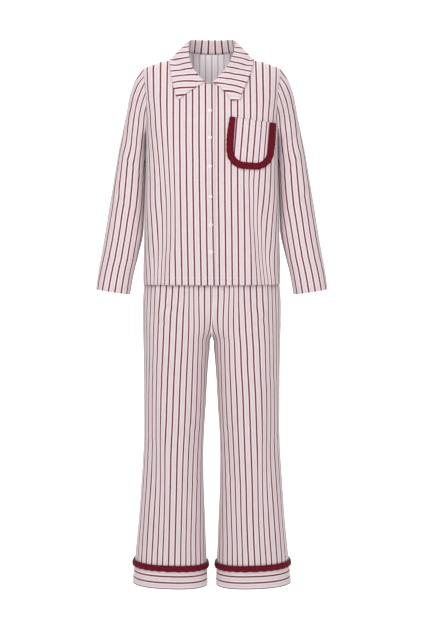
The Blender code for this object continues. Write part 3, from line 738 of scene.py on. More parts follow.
def shell(name, grid, uv, outside, inside, wall, ring=False):
    """A cloth wall under its outer points. uv has one column more than the grid where it closes to a ring."""
    faces, corner_rows, corner_columns = grid_faces(*grid.shape[:2], ring)
    made = mesh_object(name, grid, faces, uv[corner_rows, corner_columns].reshape(-1, 2))
    made.data.materials.append(outside)
    made.data.materials.append(inside)
    solid = made.modifiers.new("wall", "SOLIDIFY")
    solid.thickness = wall * MM
    solid.offset = -1
    solid.material_offset = 1
    return made


def dress(piece, slot, *nodes):
    """The piece takes the place of the solids and moves with them."""
    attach(piece, BODY)
    if nodes:
        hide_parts(*nodes)
    return piece


def ordered(grid, side):
    """Columns built from the centre outwards run the other way on the wearer's right."""
    return grid[:, ::-1] if side < 0 else grid


def stacked(across, along):
    """A UV grid in stripes, from distances across the stripes counted in stripes and along them in mm."""
    across, along = np.broadcast_arrays(across, np.asarray(along, float) / STRIPE_PITCH)
    return np.stack([across, along], axis=-1)


def flipped(grid, uv):
    """Both with their columns the other way round."""
    return grid[:, ::-1], uv[:, ::-1]


# ---------------------------------------------------------------- shirt body


def shoulder_z(x):
    """Height of the shoulder line, and inside the neckline that of the neck's column."""
    out = np.maximum(np.abs(x), NECK_SIDE)
    lift = NECK_LIFT * (np.clip(NECK_LIFT_END - out, 0, None) / (NECK_LIFT_END - SHOULDER_START)) ** 2
    column = NECK_COLUMN * (out - np.abs(x)) ** 2
    tip = TIP_LIFT * ease(out, *TIP_LIFT_RISE)
    return -SHOULDER_SLOPE * (out - SHOULDER_START) + lift + tip + column


def body_x(way, drop):
    """x at a way round the body: 0 at the centre, 1 at the side seam."""
    way = np.asarray(way, float)
    share = way**2 / (way**2 + (1 - np.abs(way)) ** 2)
    square = read(BODY_SECTIONS, "square", drop)
    return np.sign(way) * read(BODY_SECTIONS, "half_width", drop) * power(np.sin(share * pi / 2), square)


def body_way(x, drop):
    """The way round the body that body_x turns into this x."""
    square = read(BODY_SECTIONS, "square", drop)
    ratio = np.clip(np.abs(x) / read(BODY_SECTIONS, "half_width", drop), 0, 1)
    share = np.arcsin(ratio ** (square / 2)) / (pi / 2)
    return np.sign(x) * np.sqrt(share) / (np.sqrt(share) + np.sqrt(1 - share))


def side_name(face):
    return "front" if face < 0 else "back"


def side_word(side):
    return "right" if side < 0 else "left"


def body_depth(x, drop, face):
    """Distance of the body's surface from the plane of its seams."""
    square = read(BODY_SECTIONS, "square", drop)
    ratio = np.clip(np.abs(x) / read(BODY_SECTIONS, "half_width", drop), 0, 1)
    depth = read(BODY_SECTIONS, side_name(face), drop)
    height = FRONT_ROUND if face < 0 else BACK_ROUND
    below = np.clip(shoulder_z(x) + drop, 0, height)
    return depth * (1 - ratio**square) ** (1 / square) * np.sqrt(1 - (1 - below / height) ** 2)


def fold_depth(folds, x, drop):
    """How far the folds press the surface in."""
    total = np.zeros(np.broadcast(x, drop).shape)
    for centre, top, bottom, width, depth, drift in zip(*folds.values()):
        middle = centre + drift * (drop - top) / (bottom - top)
        total += depth * ease(drop, top, top + FOLD_GROWTH) * bump(x, middle, width)
    return total


def crease_depth(creases, x, drop):
    """How far the creases press the surface in."""
    total = 0.0
    for start_x, start_drop, end_x, end_drop, width, depth in zip(*creases.values()):
        run_x, run_drop = end_x - start_x, end_drop - start_drop
        length = np.hypot(run_x, run_drop)
        along = ((x - start_x) * run_x + (drop - start_drop) * run_drop) / length**2
        bow = CREASE_BOW * length * 4 * along * (1 - along)
        off = ((x - start_x) * run_drop - (drop - start_drop) * run_x) / length + bow
        fade = ease(along, 0, CREASE_FADE) * ease(along, 1, CREASE_FADE_OUT)
        trough = bump(off, 0, width) - CREASE_RIDGE * bump(off, RIDGE_OFF * width, width)
        total = total + depth * fade * trough
    return total


def taken_depth(x, drop):
    """How far the two long folds of the fronts go in."""
    total = 0.0
    for side in (-1, 1):
        place, spread, taken = (read(front_fold(side), name, drop) for name in ("place", "spread", "taken"))
        total = total + FOLD_PRESS * np.maximum(taken, 0) * bump(x * side, place, FOLD_WIDTH * spread)
    return total


def front_fold(side):
    return LEFT_FOLD if side > 0 else RIGHT_FOLD


def body_point(x, drop, face, lift=0.0):
    """A point on the shirt body's surface, moved out by lift."""
    x, drop = np.broadcast_arrays(np.asarray(x, float), np.asarray(drop, float))
    folds = fold_depth(FRONT_FOLDS if face < 0 else BACK_FOLDS, x, drop)
    folds = folds + crease_depth(FRONT_CREASES if face < 0 else BACK_CREASES, x, drop)
    if face < 0:
        folds = folds + taken_depth(x, drop)
    depth = body_depth(x, drop, face)
    fade = ease(depth, *FOLD_FADE)
    y = RIDGE + face * (SEAM / 2 + depth - folds * fade + lift)
    return np.stack([x, y, -drop], axis=-1)


def armhole_edge(turn):
    """x and drop of the armhole's edge at a turn: 0 at the shoulder, pi at its foot."""
    drop = mix(ARMHOLE_TOP, ARMHOLE_FOOT, (1 - np.cos(turn)) / 2)
    return body_x(read(ARMHOLE, "way", drop), drop), drop


def front_point(side, x, drop, extra=0.0):
    """A point of a front, x outwards from the centre: the right one rises where it laps over the left."""
    if side < 0:
        lift = LAYER * ease(-x, *OVERLAP_RISE)
    else:
        lift = -TUCKED * ease(x, *TUCK_UNDER)
    return body_point(side * x, drop, -1, lift + extra)


def bunched(columns, end):
    """Columns drawn together towards a row's end at the armhole, so that the inner ones run straight."""
    return columns * (1 - (1 - end) * columns) / end


def panel_x(inner_x, outer_x, outer_drop, columns):
    end = body_way(outer_x, outer_drop)
    way = mix(body_way(inner_x, outer_drop), end, bunched(columns, end))
    return body_x(way, outer_drop)


def shoulder_rise(x):
    """How the shoulder seam itself gains its height, from the neckline to the armhole."""
    start = -shoulder_z(NECK_SIDE)
    return (-shoulder_z(x) - start) / (ARMHOLE_TOP - start)


def upper_turns():
    return np.linspace(0, 180, NECK_TURNS)[:, None]


def lower_drops():
    return np.linspace(ARMHOLE_FOOT, SHIRT_HEM, BODY_ROWS + 1)[1:, None]


def front_grid(side):
    """x and drop of a front's points, from its front edge to the armhole and the side seam."""
    edge_x = LEFT_EDGE if side > 0 else -RIGHT_EDGE
    columns = np.linspace(0, 1, FRONT_COLUMNS)[None, :]
    turn = upper_turns()
    outer_x, outer_drop = armhole_edge(np.radians(turn))
    way = read(NECK_ROWS, "way", turn)
    corner = ease(turn, EDGE_ROWS["turn"][0], EDGE_ROWS["turn"][1])
    inner_x = mix(read(NECKLINE, "x", way), edge_x, corner)
    above = turn < EDGE_ROWS["turn"][0]
    inner_drop = np.where(above, read(NECKLINE, "drop", way), read(EDGE_ROWS, "drop", turn))
    x = panel_x(inner_x, outer_x, outer_drop, columns)
    rise = mix(shoulder_rise(x[:1]), columns, ease(turn, 0, 180))
    drop = mix(inner_drop, outer_drop, rise)
    low = lower_drops()
    lag = (LEVEL_DROP - low).clip(0) / (LEVEL_DROP - ARMHOLE_FOOT)
    low_inner = low - lag * (ARMHOLE_FOOT - EDGE_ROWS["drop"][-1])
    low_x = panel_x(edge_x, body_x(1.0, low), low, columns)
    low_drop = mix(low_inner, low, columns)
    return np.concatenate([x, low_x]), np.concatenate([drop, low_drop])


def back_grid():
    """x and drop of the back's points on one half, from its centre to the armhole and the side seam."""
    columns = np.linspace(0, 1, BACK_COLUMNS)[None, :]
    turn = upper_turns()
    outer_x, outer_drop = armhole_edge(np.radians(turn))
    x = panel_x(0.0, outer_x, outer_drop, columns)
    neck = smooth(NECKLINE["x"][:BACK_NECK], NECKLINE["drop"][:BACK_NECK], np.minimum(x[:1], NECK_SIDE))
    top = np.where(x[:1] < NECK_SIDE, neck, -shoulder_z(x[:1]))
    drop = mix(top, ARMHOLE_FOOT, (1 - np.cos(np.radians(turn))) / 2)
    low = lower_drops()
    low_x = body_x(columns, low)
    return np.concatenate([x, low_x]), np.concatenate([drop, low + 0 * low_x])


EXCESS_DROP = 300
EXCESS_RATIOS = np.sin(np.linspace(0, pi / 2, 400))


def section_excess(face):
    """How much longer than x the cloth is from the centre to each x, as a share of the half width."""
    half = float(read(BODY_SECTIONS, "half_width", EXCESS_DROP))
    x = EXCESS_RATIOS * half
    points = np.stack([x, body_depth(x, EXCESS_DROP, face)], axis=-1)
    return (lengths(points) - x) / half


EXCESS = {face: section_excess(face) for face in (-1, 1)}


def body_stripe(x, drop, face):
    """The stripe's number at a point of the shirt body, counted from the centre."""
    half = read(BODY_SECTIONS, "half_width", drop)
    excess = np.interp(np.abs(x) / half, EXCESS_RATIOS, EXCESS[face])
    return (x + np.sign(x) * excess * half) / STRIPE_PITCH


def front_stripe(side, x, drop):
    """The stripe's number on a front, x outwards from the centre, with what its fold takes up."""
    fold = front_fold(side)
    place, spread, taken, moved = (read(fold, name, drop) for name in ("place", "spread", "taken", "moved"))
    return side * (body_stripe(x, drop, -1) + moved + taken * ease(x, place - spread, place + spread))


def make_front(side):
    x, drop = front_grid(side)
    grid = ordered(front_point(side, x, drop), side)
    uv = ordered(stacked(front_stripe(side, x, drop), drop), side)
    name = f"front_{side_word(side)}"
    piece = shell(name + "_cloth", grid, uv, cotton, cotton_inside, SHOWN_CLOTH)
    return dress(piece, "striped_cloth", name), grid


def make_back():
    x, drop = back_grid()
    left = body_point(x[:, ::-1], drop[:, ::-1], 1)
    right = body_point(-x[:, 1:], drop[:, 1:], 1)
    grid = np.concatenate([left, right], axis=1)
    across = body_stripe(x, drop, 1)
    uv_left = stacked(across[:, ::-1], drop[:, ::-1])
    uv_right = stacked(-across[:, 1:], drop[:, 1:])
    uv = np.concatenate([uv_left, uv_right], axis=1)
    piece = shell("back_cloth", grid, uv, cotton, cotton_inside, SHOWN_CLOTH)
    return dress(piece, "striped_cloth", "back"), grid


# ---------------------------------------------------------------- sleeves


SLEEVE_ROUND = 50  # mm round the sleeve in a radian
SLEEVE_ROW = 42  # mm down the sleeve in a row
SLEEVE_FOLD_SLANT = 1.6  # of its length, for each radian round the sleeve
TUCK_TURNS = (-0.2, 0.5)  # cosines of the turn over which the tucks deepen towards the shoulder
TUCK_ROWS = (3.2, 0.9)  # rows over which they deepen up the sleeve
TUCK_START = (0, 0.8)  # rows over which they fade again to the seam


def sleeve_dent(row, turn):
    """How far the sleeve's folds and the tucks at its head press in."""
    dent = 0.0
    for fold_row, fold_turn, length, width, depth in zip(*SLEEVE_FOLDS.values()):
        off = (turn - radians(fold_turn) + pi) % (2 * pi) - pi
        slant = SLEEVE_FOLD_SLANT * off * length
        down = (row - fold_row + slant) / length
        dent = dent + depth * np.exp(-(down**2) - (off / radians(width)) ** 2)
    dent = dent + crease_depth(SLEEVE_CREASES, turn * SLEEVE_ROUND, row * SLEEVE_ROW)
    head = ease(np.cos(turn), *TUCK_TURNS) * ease(row, *TUCK_ROWS) * ease(row, *TUCK_START)
    return dent + TUCK_DEPTH * head * (0.5 - 0.5 * np.cos(2 * HEAD_TUCKS * turn))


def sleeve_grid(side, rows, turns):
    """Points of a sleeve by row and turn: turn 0 is its outer line, and the front comes first."""
    row, turn = np.meshgrid(rows, turns, indexing="ij")
    zero = np.zeros_like(row)
    out = np.stack([read(SLEEVE, "out_x", row), zero, -read(SLEEVE, "out_drop", row)], axis=-1)
    inner = np.stack([read(SLEEVE, "in_x", row), zero, -read(SLEEVE, "in_drop", row)], axis=-1)
    centre = (out + inner) / 2
    centre[..., 1] += read(SLEEVE, "centre", row)
    own = ease(row, 0, OWN_SHAPE_ROW)
    face = np.where(turn < pi, -1, 1)
    x, drop = armhole_edge(turn)
    across = np.where(face < 0, -body_depth(x, drop, -1), body_depth(x, drop, 1))
    bend = x - mix(SLEEVE["in_x"][0], SLEEVE["out_x"][0], (1 + np.cos(turn)) / 2)
    depth = np.where(face < 0, read(SLEEVE, "front", row), read(SLEEVE, "back", row))
    own_across = face * depth * np.abs(power(np.sin(turn), SLEEVE_SQUARE))
    along = mix(np.cos(turn), power(np.cos(turn), SLEEVE_SQUARE), own)
    points = centre + (out - inner) / 2 * along[..., None]
    points[..., 0] += bend * (1 - own)
    points[..., 1] += mix(across, own_across, own)
    radial = points - centre
    radial /= np.linalg.norm(radial, axis=-1)[..., None]
    points -= radial * sleeve_dent(row, turn)[..., None]
    return points * [side, 1, 1]


def sleeve_stripe(grid, rows):
    """The stripes' numbers round a sleeve: over its front from its outer line, and over its back from the
    seam under the arm.
    """
    closed = np.concatenate([grid, grid[:, :1]], axis=1)
    around = lengths(closed) / STRIPE_PITCH
    half = grid.shape[1] // 2
    inward = ease(np.linspace(0, pi, half + 1), *BUNCHED_TURNS)[None, :]
    outer, inner = (read(SLEEVE_STRIPES, name, rows)[:, None] for name in ("outer", "inner"))
    moved = (inner - outer) * inward
    front = outer + around[:, : half + 1] + moved
    x, drop = np.abs(grid[:, : half + 1, 0]), -grid[:, : half + 1, 2]
    head = HEAD_STRIPE + (read(HEAD_STRIPES, "x", drop) - x) / read(HEAD_STRIPES, "distance", drop)
    middle = half // 2
    steps = np.maximum(np.diff(head[:, : middle + 1]), LEAST_STRIPES * np.diff(around[:, : middle + 1]))
    head[:, :middle] = head[:, middle : middle + 1] - np.cumsum(steps[:, ::-1], axis=1)[:, ::-1]
    front = mix(front, head, ease(rows, *HEAD_ROWS)[:, None])
    back = front[:, :1] + around[:, half:] - around[:, -1:] - moved[:, ::-1]
    return front, back


def make_sleeve(side):
    turns = np.arange(SLEEVE_COLUMNS) * 2 * pi / SLEEVE_COLUMNS
    last = SLEEVE["row"][-1]
    rows = np.concatenate([SLEEVE_START[:-1], np.arange(SLEEVE_START[-1], last, SLEEVE_STEP), [last]])
    grid = sleeve_grid(side, rows, turns)
    away = sleeve_grid(side, np.array([HEAD_WAY]), turns)[0] - grid[0]
    away /= np.linalg.norm(away, axis=1)[:, None]
    gap = SEAM + mix(FOOT_GAP, HEAD_GAP, 0.5 + 0.5 * np.cos(turns))
    grid[0] += away * gap[:, None]
    front, back = sleeve_stripe(grid, rows)
    half = SLEEVE_COLUMNS // 2
    down = lengths(grid.mean(axis=1)[None])[0][:, None]
    name = f"sleeve_{side_word(side)}"
    # The UVs part at the seam under the arm, so the ring starts there
    start = np.roll(grid, -half, axis=1)
    uv = stacked(np.concatenate([back[:, :-1], front], axis=1), down)
    if side > 0:
        start = np.roll(start[:, ::-1], 1, axis=1)
        uv = uv[:, ::-1]
    piece = shell(name + "_cloth", start, uv, cotton, cotton_inside, SHOWN_CLOTH, ring=True)
    return dress(piece, "striped_cloth", name), start


# ---------------------------------------------------------------- collar


def neck_point(side, way):
    if way < NECK_CORNER:
        return body_point(side * read(NECKLINE, "x", way), read(NECKLINE, "drop", way), 1)
    return front_point(side, read(NECKLINE, "x", way), read(NECKLINE, "drop", way))


def clear_body(point, lift):
    """Moves a point straight out of the shirt body where it lies deeper than lift above its surface."""
    x, y, z = point
    face = -1 if y < RIDGE else 1
    height = FRONT_ROUND if face < 0 else BACK_ROUND
    drop = max(-z, BODY_SECTIONS["drop"][0])
    square = read(BODY_SECTIONS, "square", drop)
    ratio = min(abs(x) / read(BODY_SECTIONS, "half_width", drop), 1)
    depth = read(BODY_SECTIONS, side_name(face), drop) * (1 - ratio**square) ** (1 / square)
    foot = shoulder_z(x) - height
    across = (y - RIDGE) / (depth + lift)
    up = max(z - foot, 0) / (height + lift)
    reach = np.hypot(across, up)
    if reach >= 1 or abs(x) < NECK_SIDE and z > 0:
        return point
    return np.array([x, RIDGE + (y - RIDGE) / reach, foot + (z - foot) / reach if z > foot else z])


STAND_ROWS = np.linspace(0, 1, 7)[:-1]
ROLL_TURNS = np.linspace(0.2, 0.85 * pi, 9)
FALL_ROWS = np.linspace(0, 1, 19)[1:]


def collar_column(side, source, station):
    """The collar's visible face at one station, from the neck seam over the roll to its outer edge, and the
    stripe's number at each point.
    """
    way = float(read(source, "way", station))
    roll = np.array([read(source, "roll_" + axis, station) for axis in "xyz"]) * [side, 1, 1]
    edge = np.array([read(source, "edge_" + axis, station) for axis in "xyz"]) * [side, 1, 1]
    seam = neck_point(side, way)
    out = np.array([edge[0] - roll[0], edge[1] - roll[1], 0.0])
    out /= np.linalg.norm(out)
    inward = -np.array([seam[0], seam[1] - RIDGE, 0.0])
    inward /= np.linalg.norm(inward)
    foot = seam + inward * DOUBLED + [0, 0, SEAM + mix(0, STAND_GAP, ease(way, NECK_CORNER, 1))]
    centre = roll - out * ROLL_RADIUS - [0, 0, ROLL_RADIUS]
    arc = [centre + ROLL_RADIUS * (out * -cos(a) + np.array([0, 0, sin(a)])) for a in ROLL_TURNS]
    points = [mix(foot, arc[0], share) for share in STAND_ROWS] + arc
    falls = [0.0] * len(points)
    span = edge - arc[-1]
    bow = np.cross(np.cross(span, [0, 0, 1.0]), span)
    bow /= np.linalg.norm(bow)
    for share in FALL_ROWS:
        crown = COLLAR_CROWN * 4 * share * (1 - share)
        points.append(clear_body(arc[-1] + span * share + bow * crown, DOUBLED + LAYER + COLLAR_REST))
        falls.append(share)
    stripe = mix(read(source, "roll_stripe", station), read(source, "edge_stripe", station), np.array(falls))
    return np.array(points), stripe


def make_collar():
    stations = np.linspace(0, COLLAR_RIGHT["station"][-1], COLLAR_STATIONS)
    right = [collar_column(-1, COLLAR_RIGHT, station) for station in stations[:0:-1]]
    left = [collar_column(1, COLLAR_LEFT, station) for station in stations]
    grid = np.array([points for points, _ in right + left]).transpose(1, 0, 2)[::-1]
    signs = np.array([-1] * len(right) + [1] * len(left))
    across = (np.array([stripe for _, stripe in right + left]).T * signs)[::-1]
    # Behind, where the halves meet, both tables start at half a stripe
    across = np.where(signs > 0, across, across + 1)
    down = lengths(grid.transpose(1, 0, 2)).T
    piece = shell("collar_cloth", grid, stacked(across, down), cotton, cotton, SHOWN_DOUBLED)
    return dress(piece, "collar_cloth", "collar"), grid


# ---------------------------------------------------------------- pocket and its frill


def pocket_place(across, down):
    """x and drop of a point in the pocket's own frame."""
    x = POCKET_X + across * cos(POCKET_TURN) - down * sin(POCKET_TURN)
    drop = POCKET_DROP + across * sin(POCKET_TURN) + down * cos(POCKET_TURN)
    return x, drop


POCKET_STRIPE = 0.49  # how far its stripes are moved from the front's
POCKET_EASED = 0.25  # and a little more towards its outer side
POCKET_EASE_START = 10
POCKET_ROWS = 44
POCKET_COLUMNS = 30


def make_pocket():
    foot = POCKET_HEIGHT - POCKET_CORNER
    straight = np.linspace(0, foot, POCKET_ROWS // 2)[:-1]
    turns = np.linspace(0, pi / 2, POCKET_ROWS // 2)
    downs = np.concatenate([straight, foot + POCKET_CORNER * np.sin(turns)])[:, None]
    rounded = POCKET_HALF - POCKET_CORNER * (1 - np.cos(turns))
    halves = np.concatenate([np.full(len(straight), POCKET_HALF), rounded])[:, None]
    across = halves * np.linspace(-1, 1, POCKET_COLUMNS)[None, :]
    slant = POCKET_SLANT * across * ease(downs, foot, 0)
    x, drop = pocket_place(across, downs + slant)
    grid = body_point(x, drop, -1, LAYER + POCKET_REST)
    level = body_stripe(POCKET_X + across, POCKET_DROP, -1) - body_stripe(POCKET_X, POCKET_DROP, -1)
    moved = POCKET_STRIPE + POCKET_EASED * ease(across, POCKET_EASE_START, POCKET_HALF)
    uv = stacked(level + moved, downs + slant)
    piece = shell("pocket_cloth", grid, uv, cotton, cotton_inside, SHOWN_CLOTH)
    return dress(piece, "striped_cloth", "pocket"), grid


def pocket_outline(share):
    """Point and outward direction on the pocket's sides and foot, from the top inner corner round."""
    straight = POCKET_HEIGHT - POCKET_CORNER
    quarter = POCKET_CORNER * pi / 2
    level = 2 * (POCKET_HALF - POCKET_CORNER)
    total = 2 * straight + 2 * quarter + level
    way = share * total
    mirrored = way > total / 2
    way = total - way if mirrored else way
    if way < straight:
        point, out = (-POCKET_HALF, way), (-1, 0)
    elif way < straight + quarter:
        turn = (way - straight) / POCKET_CORNER
        out = (-cos(turn), sin(turn))
        point = (out[0] * POCKET_CORNER - POCKET_HALF + POCKET_CORNER, straight + out[1] * POCKET_CORNER)
    else:
        point, out = (way - straight - quarter - POCKET_HALF + POCKET_CORNER, POCKET_HEIGHT), (0, 1)
    flip = -1 if mirrored else 1
    slant = POCKET_SLANT * flip * point[0] * float(ease(point[1], straight, 0))
    return np.array([flip * point[0], point[1] + slant]), np.array([flip * out[0], out[1]])


# Across a frill: how far it stands off what it lies on, and the height of its waves
FRILL = table(
    "across rise wave",
    (0.00, 0.0, 0.0),
    (0.08, 1.9, 0.2),
    (0.22, 3.1, 0.7),
    (0.50, 3.4, 1.1),
    (0.78, 3.0, 1.5),
    (0.93, 2.3, 1.9),
    (1.00, 1.5, 2.1),
)
FRILL_ROWS = np.linspace(0, 1, 17)
FRILL_EDGE = 0.5  # mm that its waves move its outer edge
FRILL_EDGE_LAG = 3  # points that this comes after the waves
FRILL_GATHER = 1.6  # cloth along the pocket frill for its length
UNEVEN_WAVES = ((1, 0.9, 0.5), (3, 0.5, 2.1), (7, 0.28, 4.0))  # turns round the frill, size, phase
WAVE_STRENGTH = 0.8
WAVE_CHANGE = 0.3  # by how much their strength changes round the frill
WAVE_CHANGES = ((5, 1.0), (2, 0.3))  # turns round the frill, phase


def frill_waves(count, waves):
    """Heights of uneven waves along a frill of so many waves."""
    turn = np.arange(count) / count * 2 * pi
    uneven = sum(size * np.sin(turns * turn + phase) for turns, size, phase in UNEVEN_WAVES)
    first, second = (np.sin(turns * turn + phase) for turns, phase in WAVE_CHANGES)
    strength = WAVE_STRENGTH + WAVE_CHANGE * first * second
    return strength * np.sin(waves * turn + uneven)


# Round the pocket from its top inner corner: how far the frill stands off its edge, and its width
POCKET_FRILL_LIE = table(
    "share off width",
    (0.00, 2.2, 13.0),
    (0.08, 2.6, 15.2),
    (0.18, 2.4, 17.2),
    (0.32, 0.8, 16.4),
    (0.45, 0.3, 16.0),
    (0.60, 0.3, 15.6),
    (0.75, 0.3, 17.2),
    (0.90, 0.3, 18.0),
    (1.00, 0.3, 17.0),
)


def make_pocket_frill():
    count = POCKET_WAVES * POINTS_A_WAVE
    waves = frill_waves(count + 1, POCKET_WAVES)
    shares = np.arange(count + 1) / count
    places = [pocket_outline(share) for share in shares]
    off = read(POCKET_FRILL_LIE, "off", shares)
    width = read(POCKET_FRILL_LIE, "width", shares) + FRILL_EDGE * np.roll(waves, FRILL_EDGE_LAG)
    rows = []
    for across in FRILL_ROWS:
        rise = read(FRILL, "rise", across) + read(FRILL, "wave", across) * waves
        flat = np.array([point + out * reach for (point, out), reach in zip(places, off + across * width)])
        x, drop = pocket_place(flat[:, 0], flat[:, 1])
        rows.append(body_point(x, drop, -1, DOUBLED + SEAM + rise))
    grid = np.array(rows)[::-1]
    along = lengths(grid)
    uv = stacked(along / STRIPE_PITCH * FRILL_GATHER, FRILL_ROWS[::-1, None] * POCKET_FRILL)
    piece = shell("pocket_frill", grid, uv, burgundy, burgundy, SHOWN_DOUBLED)
    return dress(piece, "burgundy_trim", "pocket_ruffle")


# ---------------------------------------------------------------- buttons


def surface_frame(x, drop, lift):
    """Axes and place of something on the right front: its own z points out of the cloth, its y up."""
    step = 2.0
    place = body_point(x, drop, -1, lift)
    across = body_point(x + step, drop, -1, lift) - place
    down = body_point(x, drop + step, -1, lift) - place
    out = np.cross(down, across)
    out /= np.linalg.norm(out)
    up = -down / np.linalg.norm(down)
    right = np.cross(up, out)
    return place, right, up, out


# Reach and height as shares, from the middle of the face over the rim to the middle of the back
BUTTON_PROFILE = (
    (0.0, 0.66),
    (0.40, 0.66),
    (0.60, 0.70),
    (0.72, 0.86),
    (0.80, 0.98),
    (0.87, 1.0),
    (0.94, 0.92),
    (1.0, 0.58),
    (0.97, 0.28),
    (0.86, 0.06),
    (0.0, 0.0),
)
BUTTON_SIDES = 48
HOLE_RADIUS = 0.75
HOLE_SPREAD = 1.35
HOLE_SIDES = 16
DRILL_LENGTH = 3 * BUTTON_THICK


def lathe(name, profile, radius, height, sides):
    """A turned body about its own z, in millimetres."""
    points = [(0, 0, profile[0][1] * height)]
    for reach, level in profile[1:-1]:
        for k in range(sides):
            turn = 2 * pi * k / sides
            points.append((reach * radius * cos(turn), reach * radius * sin(turn), level * height))
    points.append((0, 0, profile[-1][1] * height))
    rings = len(profile) - 2
    faces = [(0, 1 + k, 1 + (k + 1) % sides) for k in range(sides)]
    for i in range(rings - 1):
        for k in range(sides):
            a, b = 1 + i * sides + k, 1 + i * sides + (k + 1) % sides
            faces.append((a, a + sides, b + sides, b))
    last = 1 + (rings - 1) * sides
    faces += [(last + (k + 1) % sides, last + k, len(points) - 1) for k in range(sides)]
    return mesh_object(name, points, faces)


def applied(piece):
    """Fixes the piece's modifiers in its mesh."""
    graph = bpy.context.evaluated_depsgraph_get()
    mesh = bpy.data.meshes.new_from_object(piece.evaluated_get(graph))
    piece.modifiers.clear()
    piece.data = mesh
    return piece


def make_button(number, drop, x):
    made = lathe(f"button_{number}_pearl", BUTTON_PROFILE, BUTTON_WIDTH / 2, BUTTON_THICK, BUTTON_SIDES)
    for a in (-1, 1):
        for b in (-1, 1):
            drill = lathe("drill", ((0, 1), (1, 1), (1, 0), (0, 0)), HOLE_RADIUS, DRILL_LENGTH, HOLE_SIDES)
            drill.location = (a * HOLE_SPREAD * MM, b * HOLE_SPREAD * MM, -BUTTON_THICK * MM)
            cut = made.modifiers.new("hole", "BOOLEAN")
            cut.operation = "DIFFERENCE"
            cut.object = drill
            bpy.context.view_layer.update()
            applied(made)
            bpy.data.objects.remove(drill)
    place, right, up, out = surface_frame(x, drop, LAYER + BUTTON_REST)
    matrix = Matrix.Identity(4)
    for k, axis in enumerate((right, up, out)):
        matrix.col[k][:3] = axis
    matrix.translation = Vector(place * MM)
    made.data.transform(matrix)
    made.data.materials.append(pearl)
    return dress(made, "button", f"button_{number}")


# ---------------------------------------------------------------- trousers


LEG_ROUND = 265  # mm round the leg from seam to seam
FORK_REACH = 17  # mm above the fork where its closer rows begin
FORK_ROWS = 9
LEG_EDGES = (0, 0.008, 0.02)  # ways of the columns beside a seam


def leg_dent(way, drop, face):
    """How far the leg's soft folds press in."""
    dent = 0.0
    for fold_drop, fold_way, length, width, depth in zip(*LEG_FOLDS.values()):
        middle = np.where(face < 0, fold_way, 1 - fold_way)
        dent = dent + depth * bump(drop, fold_drop, length) * bump(way, middle, width)
    return dent + crease_depth(LEG_CREASES, np.where(face < 0, way, 1 - way) * LEG_ROUND, drop)


def leg_point(side, way, drop, face, lift=0.0, seam_gap=True):
    """A point on a leg: way 0 at the outer seam, 1 at the inner one, round the front (-1) or back (+1)."""
    way, drop, face, lift = np.broadcast_arrays(way, drop, face, lift)
    outer = read(LEG, "outer", drop) + lift
    inner = read(LEG, "inner", drop) - lift
    square = read(LEG, "square", drop)
    depth = np.where(face < 0, read(LEG, "front", drop), read(LEG, "back", drop)) + lift
    centre = (outer + inner) / 2
    half = (outer - inner) / 2
    fork = np.arccos(-(np.clip((centre - FORK_GAP) / half, 0, 1) ** (square / 2))) / pi
    end = np.where(drop < FORK, fork, 1.0)
    turn = way * end * pi
    x = centre + half * power(np.cos(turn), square)
    gap = face * SEAM / 2 if seam_gap else 0.0
    y = LEG_RIDGE + gap + face * (depth * power(np.sin(turn), square) - leg_dent(way, drop, face))
    lean = LEG_TILT * ease(drop, TILT_START, CUFF_SEAM) * (x - centre)
    return np.stack([side * x, y, -drop + lean], axis=-1)


def leg_rows():
    above = np.arange(WAIST_SEAM, FORK - FORK_REACH, LEG_STEP)
    fork = np.linspace(FORK - FORK_REACH, FORK, FORK_ROWS)
    below = np.linspace(FORK + LEG_STEP, CUFF_SEAM - SEAM, int((CUFF_SEAM - FORK) / LEG_STEP))
    return np.concatenate([above, fork, below])[:, None]


def leg_stripe(grid, side, drops):
    """The stripes' numbers over a leg's rows, from the centre seam outwards."""
    x = grid[..., 0] * side
    along = lengths(grid)
    counted = read(LEG_STRIPES, side_word(side), drops[:, 0])
    there = np.array([np.interp(-place, -row, length) for place, row, length in zip(counted, x, along)])
    inner_x, outer_x = read(LEG_STRIPES, "inner_x", drops), read(LEG_STRIPES, "outer_x", drops)
    inner = read(LEG_STRIPES, "inner", drops) * (ease(x, inner_x - INNER_SPREAD, inner_x + INNER_SPREAD) - 1)
    outer = read(LEG_STRIPES, "outer", drops) * ease(x, outer_x - OUTER_SPREAD, outer_x + OUTER_SPREAD)
    return side * (COUNTED_STRIPE + (there[:, None] - along) / STRIPE_PITCH + inner + outer)


def make_leg(side, face):
    seam, near, even = LEG_EDGES
    middle = np.linspace(even, 1 - even, LEG_COLUMNS - 4)
    ways = np.concatenate([[seam, near], middle, [1 - near, 1 - seam]])[None, :]
    drops = leg_rows()
    grid = leg_point(side, ways, drops, face)
    uv = stacked(leg_stripe(grid, side, drops), drops)
    if side * face < 0:
        grid, uv = flipped(grid, uv)
    name = f"trouser_{side_name(face)}_{side_word(side)}"
    piece = shell(name + "_cloth", grid, uv, cotton, cotton_inside, SHOWN_CLOTH)
    return dress(piece, "striped_cloth", name)


def leg_ring(side, drop, count, lifts):
    """A closed ring round one leg, lifted off it: the outer seam first, then the front."""
    turn = 2 * np.arange(count) / count
    face = np.where(turn < 1, -1, 1)
    way = np.where(turn < 1, turn, 2 - turn)
    return leg_point(side, way, drop, face, lifts, seam_gap=False)


def ring_uv(grid, along, swapped):
    """UVs of a ring: round it, and down it in mm. Swapped, the stripes run round."""
    closed = np.concatenate([grid, grid[:, :1]], axis=1)
    around = lengths(closed) / STRIPE_PITCH
    down = np.asarray(along, float)[:, None] / STRIPE_PITCH + 0 * around
    return np.stack([down, around] if swapped else [around, down], axis=-1)


CUFF_ROWS = 16
HEM_STRIPE = 0.03  # stripes from the last red one to the cuff's hem


